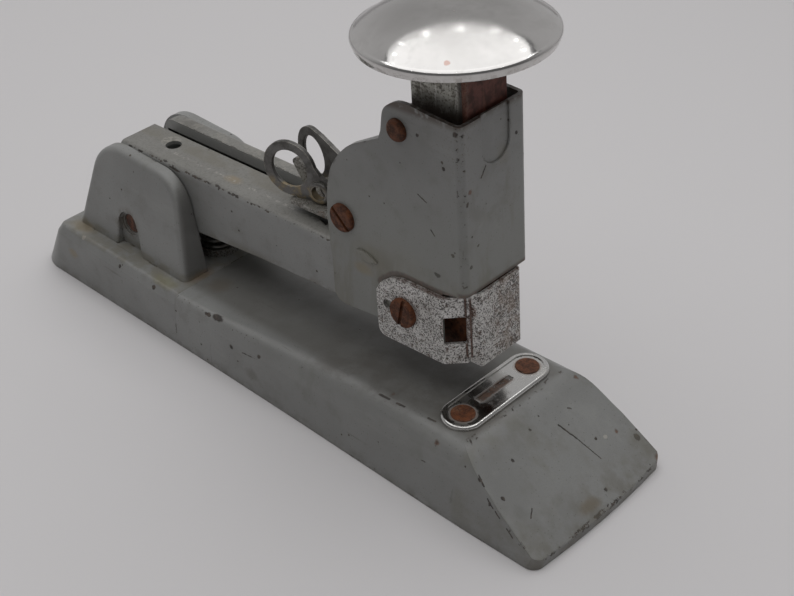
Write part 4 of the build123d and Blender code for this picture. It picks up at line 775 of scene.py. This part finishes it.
for name, obj in NODES.items():
    mat = MATS.get(name, SPRING)
    if len(obj.material_slots) == 0:
        obj.data.materials.append(mat)
    for s in obj.material_slots:
        s.material = mat


# ---------------------------------------------------------------------------
# springs: real coils with closed ends, put in place of the CAD springs and hung on their bodies
# ---------------------------------------------------------------------------
def coil(name, r, wire, length, turns, origin, axis, side, closed=1.0, per=36, ring=12):
    """Round-wire compression spring from origin along axis; r, wire (radius), length in mm."""
    axis = Vector(axis).normalized()
    side = (Vector(side) - axis * Vector(side).dot(axis)).normalized()
    up = axis.cross(side)
    n = int(turns * per)
    free = length - 2 * wire
    dead = closed / turns
    pts = []
    for i in range(n + 1):
        t = i / n
        # closed end turns lie nearly flat, the working turns share the rest
        lo = 2.1 * wire * closed
        if t < dead:
            s = lo * t / dead
        elif t > 1 - dead:
            s = free - lo * (1 - t) / dead
        else:
            s = lo + (free - 2 * lo) * (t - dead) / (1 - 2 * dead)
        a = 2 * math.pi * turns * t
        pts.append(Vector(origin) + (axis * (s + wire) + (side * math.cos(a) + up * math.sin(a)) * r) * MM)
    verts, faces = [], []
    for i, p in enumerate(pts):
        tan = (pts[min(i + 1, n)] - pts[max(i - 1, 0)]).normalized()
        base = Vector(origin) + axis * (p - Vector(origin)).dot(axis)
        rad = (p - base).normalized()
        rad = (rad - tan * rad.dot(tan)).normalized()
        bi = tan.cross(rad)
        for k in range(ring):
            a = 2 * math.pi * k / ring
            verts.append(p + (rad * math.cos(a) + bi * math.sin(a)) * wire * MM)
    for i in range(n):
        for k in range(ring):
            a, b = i * ring + k, i * ring + (k + 1) % ring
            faces.append((a, b, b + ring, a + ring))
    faces.append(tuple(reversed(range(ring))))
    faces.append(tuple(range(n * ring, n * ring + ring)))
    me = bpy.data.meshes.new(name)
    me.from_pydata([tuple(v) for v in verts], [], faces)
    me.validate()
    for p in me.polygons:
        p.use_smooth = len(p.vertices) == 4
    ob = bpy.data.objects.new(name, me)
    bpy.context.scene.collection.objects.link(ob)
    ob.data.materials.append(SPRING)
    return ob


def node_axis_span(node, axis):
    """Lowest and highest reach of a node's mesh along a direction, in metres."""
    a = Vector(axis).normalized()
    d = [a.dot(NODES[node].matrix_world @ v.co) for v in NODES[node].data.vertices]
    return min(d), max(d)


UP = rest_dir(0, 0, 1)
FWD = rest_dir(1, 0, 0)
SIDE = Vector((0, 1, 0))


def fit_coil(name, node, r, wire, turns, centre, axis, side, shrink=0.06, closed=1.0):
    """Coil on the line through centre, filling the CAD spring's length."""
    axis = Vector(axis).normalized()
    lo, hi = node_axis_span(node, axis)
    c = Vector(centre)
    org = c + axis * (lo - axis.dot(c)) + axis * shrink * MM * 0.5
    return coil(name, r, wire, (hi - lo) / MM - shrink, turns, org, axis, side, closed)


ret = fit_coil("return_coil", "return_spring", 6.2, 0.8, 5.5, (-0.0555, 0.0006, 0.03), (0, 0, 1), (1, 0, 0))
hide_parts("return_spring")
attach(ret, "base")
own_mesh(ret)

ps = fit_coil("plunger_coil", "plunger_spring", 5.0, 0.8, 9.0, rest(67.9, 0, 80.0), UP, FWD)
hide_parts("plunger_spring")
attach(ps, "arm")
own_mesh(ps)

fs_lo = node_axis_span("follower_spring", FWD)
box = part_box("follower_spring")
fw = fit_coil("follower_coil", "follower_spring", 1.75, 0.30, 26.0, rest(0, -5.0, 54.1), FWD, SIDE, closed=1.5)
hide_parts("follower_spring")
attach(fw, "arm")
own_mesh(fw)

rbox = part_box("ring_spring")
rc = (Vector(rbox[0]) + Vector(rbox[1])) / 2
rr = (rbox[1][2] - rbox[0][2]) / 2 / MM
rg = fit_coil("ring_coil", "ring_spring", rr - 0.36, 0.35, 5.0, rc, SIDE, FWD, closed=0.8)
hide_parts("ring_spring")
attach(rg, "follower")
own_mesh(rg)


# ---------------------------------------------------------------------------
# floor, light, camera
# ---------------------------------------------------------------------------
def floor():
    b = Mat("studio_floor", 3.1)
    n = b.noise(1.3, 2.0)
    col = b.mix(b.ramp(n, 0.3, 0.7), (0.715, 0.700, 0.705), (0.695, 0.680, 0.685))
    mat = b.finish(col, 0.75, b.mul(b.noise(260.0, 2.0), 0.01), spec=0.25)
    me = bpy.data.meshes.new("floor")
    s = 4.0
    me.from_pydata([(-s, -s, 0), (s, -s, 0), (s, s, 0), (-s, s, 0)], [], [(0, 1, 2, 3)])
    ob = bpy.data.objects.new("floor", me)
    bpy.context.scene.collection.objects.link(ob)
    ob.data.materials.append(mat)
    ob.location.z = -0.0002


floor()

TO_CAM = Vector((math.cos(math.radians(-47.31)), math.sin(math.radians(-47.31)), 0.0))


def area(name, loc, target, size, energy, shape="DISK", color=(1, 1, 1)):
    d = bpy.data.lights.new(name, "AREA")
    d.shape = shape
    d.size = size
    d.energy = energy
    d.color = color
    ob = bpy.data.objects.new(name, d)
    bpy.context.scene.collection.objects.link(ob)
    ob.location = loc
    ob.rotation_euler = (Vector(target) - Vector(loc)).to_track_quat("-Z", "Y").to_euler()
    ob.visible_camera = False
    return ob


TOP = Vector((0.03, -0.02, 0.0)) - TO_CAM * 0.06 + Vector((0, 0, 0.85))
area("overhead", TOP, (0.03, -0.01, 0.05), 1.26, 3.55)
for i in range(18):
    a = 2 * math.pi * (i + 0.5) / 18
    p = TOP + Vector((math.cos(a), math.sin(a), -0.01)) * (0.55 + 0.02 * ((i * 7) % 3))
    area("rim_%02d" % i, p, (0.05, 0.0, 0.12), 0.012 + 0.003 * (i % 3), 0.010 + 0.004 * ((i * 5) % 4))


def world():
    w = bpy.data.worlds.new("studio")
    w.use_nodes = True
    bpy.context.scene.world = w
    nt = w.node_tree
    nt.nodes.clear()

    def node(kind, **k):
        q = nt.nodes.new(kind)
        for a, v in k.items():
            setattr(q, a, v)
        return q

    def ramp(src, lo, hi, a, b):
        q = node("ShaderNodeMapRange", interpolation_type="SMOOTHSTEP")
        for n, v in (("From Min", lo), ("From Max", hi), ("To Min", a), ("To Max", b)):
            q.inputs[n].default_value = v
        nt.links.new(src, q.inputs["Value"])
        return q.outputs[0]

    def math_(op, a, b):
        q = node("ShaderNodeMath", operation=op)
        for k, v in enumerate((a, b)):
            if isinstance(v, bpy.types.NodeSocket):
                nt.links.new(v, q.inputs[k])
            else:
                q.inputs[k].default_value = v
        return q.outputs[0]

    out = node("ShaderNodeOutputWorld")
    bg = node("ShaderNodeBackground")
    tc = node("ShaderNodeTexCoord")
    dot = node("ShaderNodeVectorMath", operation="DOT_PRODUCT")
    dot.inputs[1].default_value = tuple(-TO_CAM)
    nt.links.new(tc.outputs["Generated"], dot.inputs[0])
    sep = node("ShaderNodeSeparateXYZ")
    nt.links.new(tc.outputs["Generated"], sep.inputs[0])
    wall = ramp(dot.outputs["Value"], -0.5, 0.75, 0.13, 0.46)
    # ceiling panel, with a thin dark joint between it and the back wall
    roof = ramp(sep.outputs[2], 0.715, 0.735, 0.0, 0.22)
    gap = math_("MULTIPLY", ramp(sep.outputs[2], 0.680, 0.695, 0.0, 1.0), ramp(sep.outputs[2], 0.715, 0.735, 1.0, 0.0))
    v = math_("ADD", wall, roof)
    v = math_("MULTIPLY", v, math_("SUBTRACT", 1.0, math_("MULTIPLY", gap, 0.75)))
    nt.links.new(v, bg.inputs["Strength"])
    bg.inputs["Color"].default_value = (1.0, 0.992, 0.996, 1.0)
    nt.links.new(bg.outputs[0], out.inputs[0])


world()

cam = bpy.data.cameras.new("camera")
cam.lens = 70.73
cam.sensor_width = 36.0
cam.clip_start = 0.01
cam.clip_end = 20.0
cam_ob = bpy.data.objects.new("camera", cam)
bpy.context.scene.collection.objects.link(cam_ob)
cam_ob.location = (0.32254, -0.31008, 0.35616)
yaw, pitch = math.radians(132.69), math.radians(-36.59)
look = Vector((math.cos(yaw) * math.cos(pitch), math.sin(yaw) * math.cos(pitch), math.sin(pitch)))
cam_ob.rotation_euler = look.to_track_quat("-Z", "Y").to_euler()
bpy.context.scene.camera = cam_ob

vs = bpy.context.scene.view_settings
vs.view_transform = "Standard"
vs.look = "None"
vs.exposure = 0.0
vs.gamma = 1.0

bpy.context.view_layer.update()
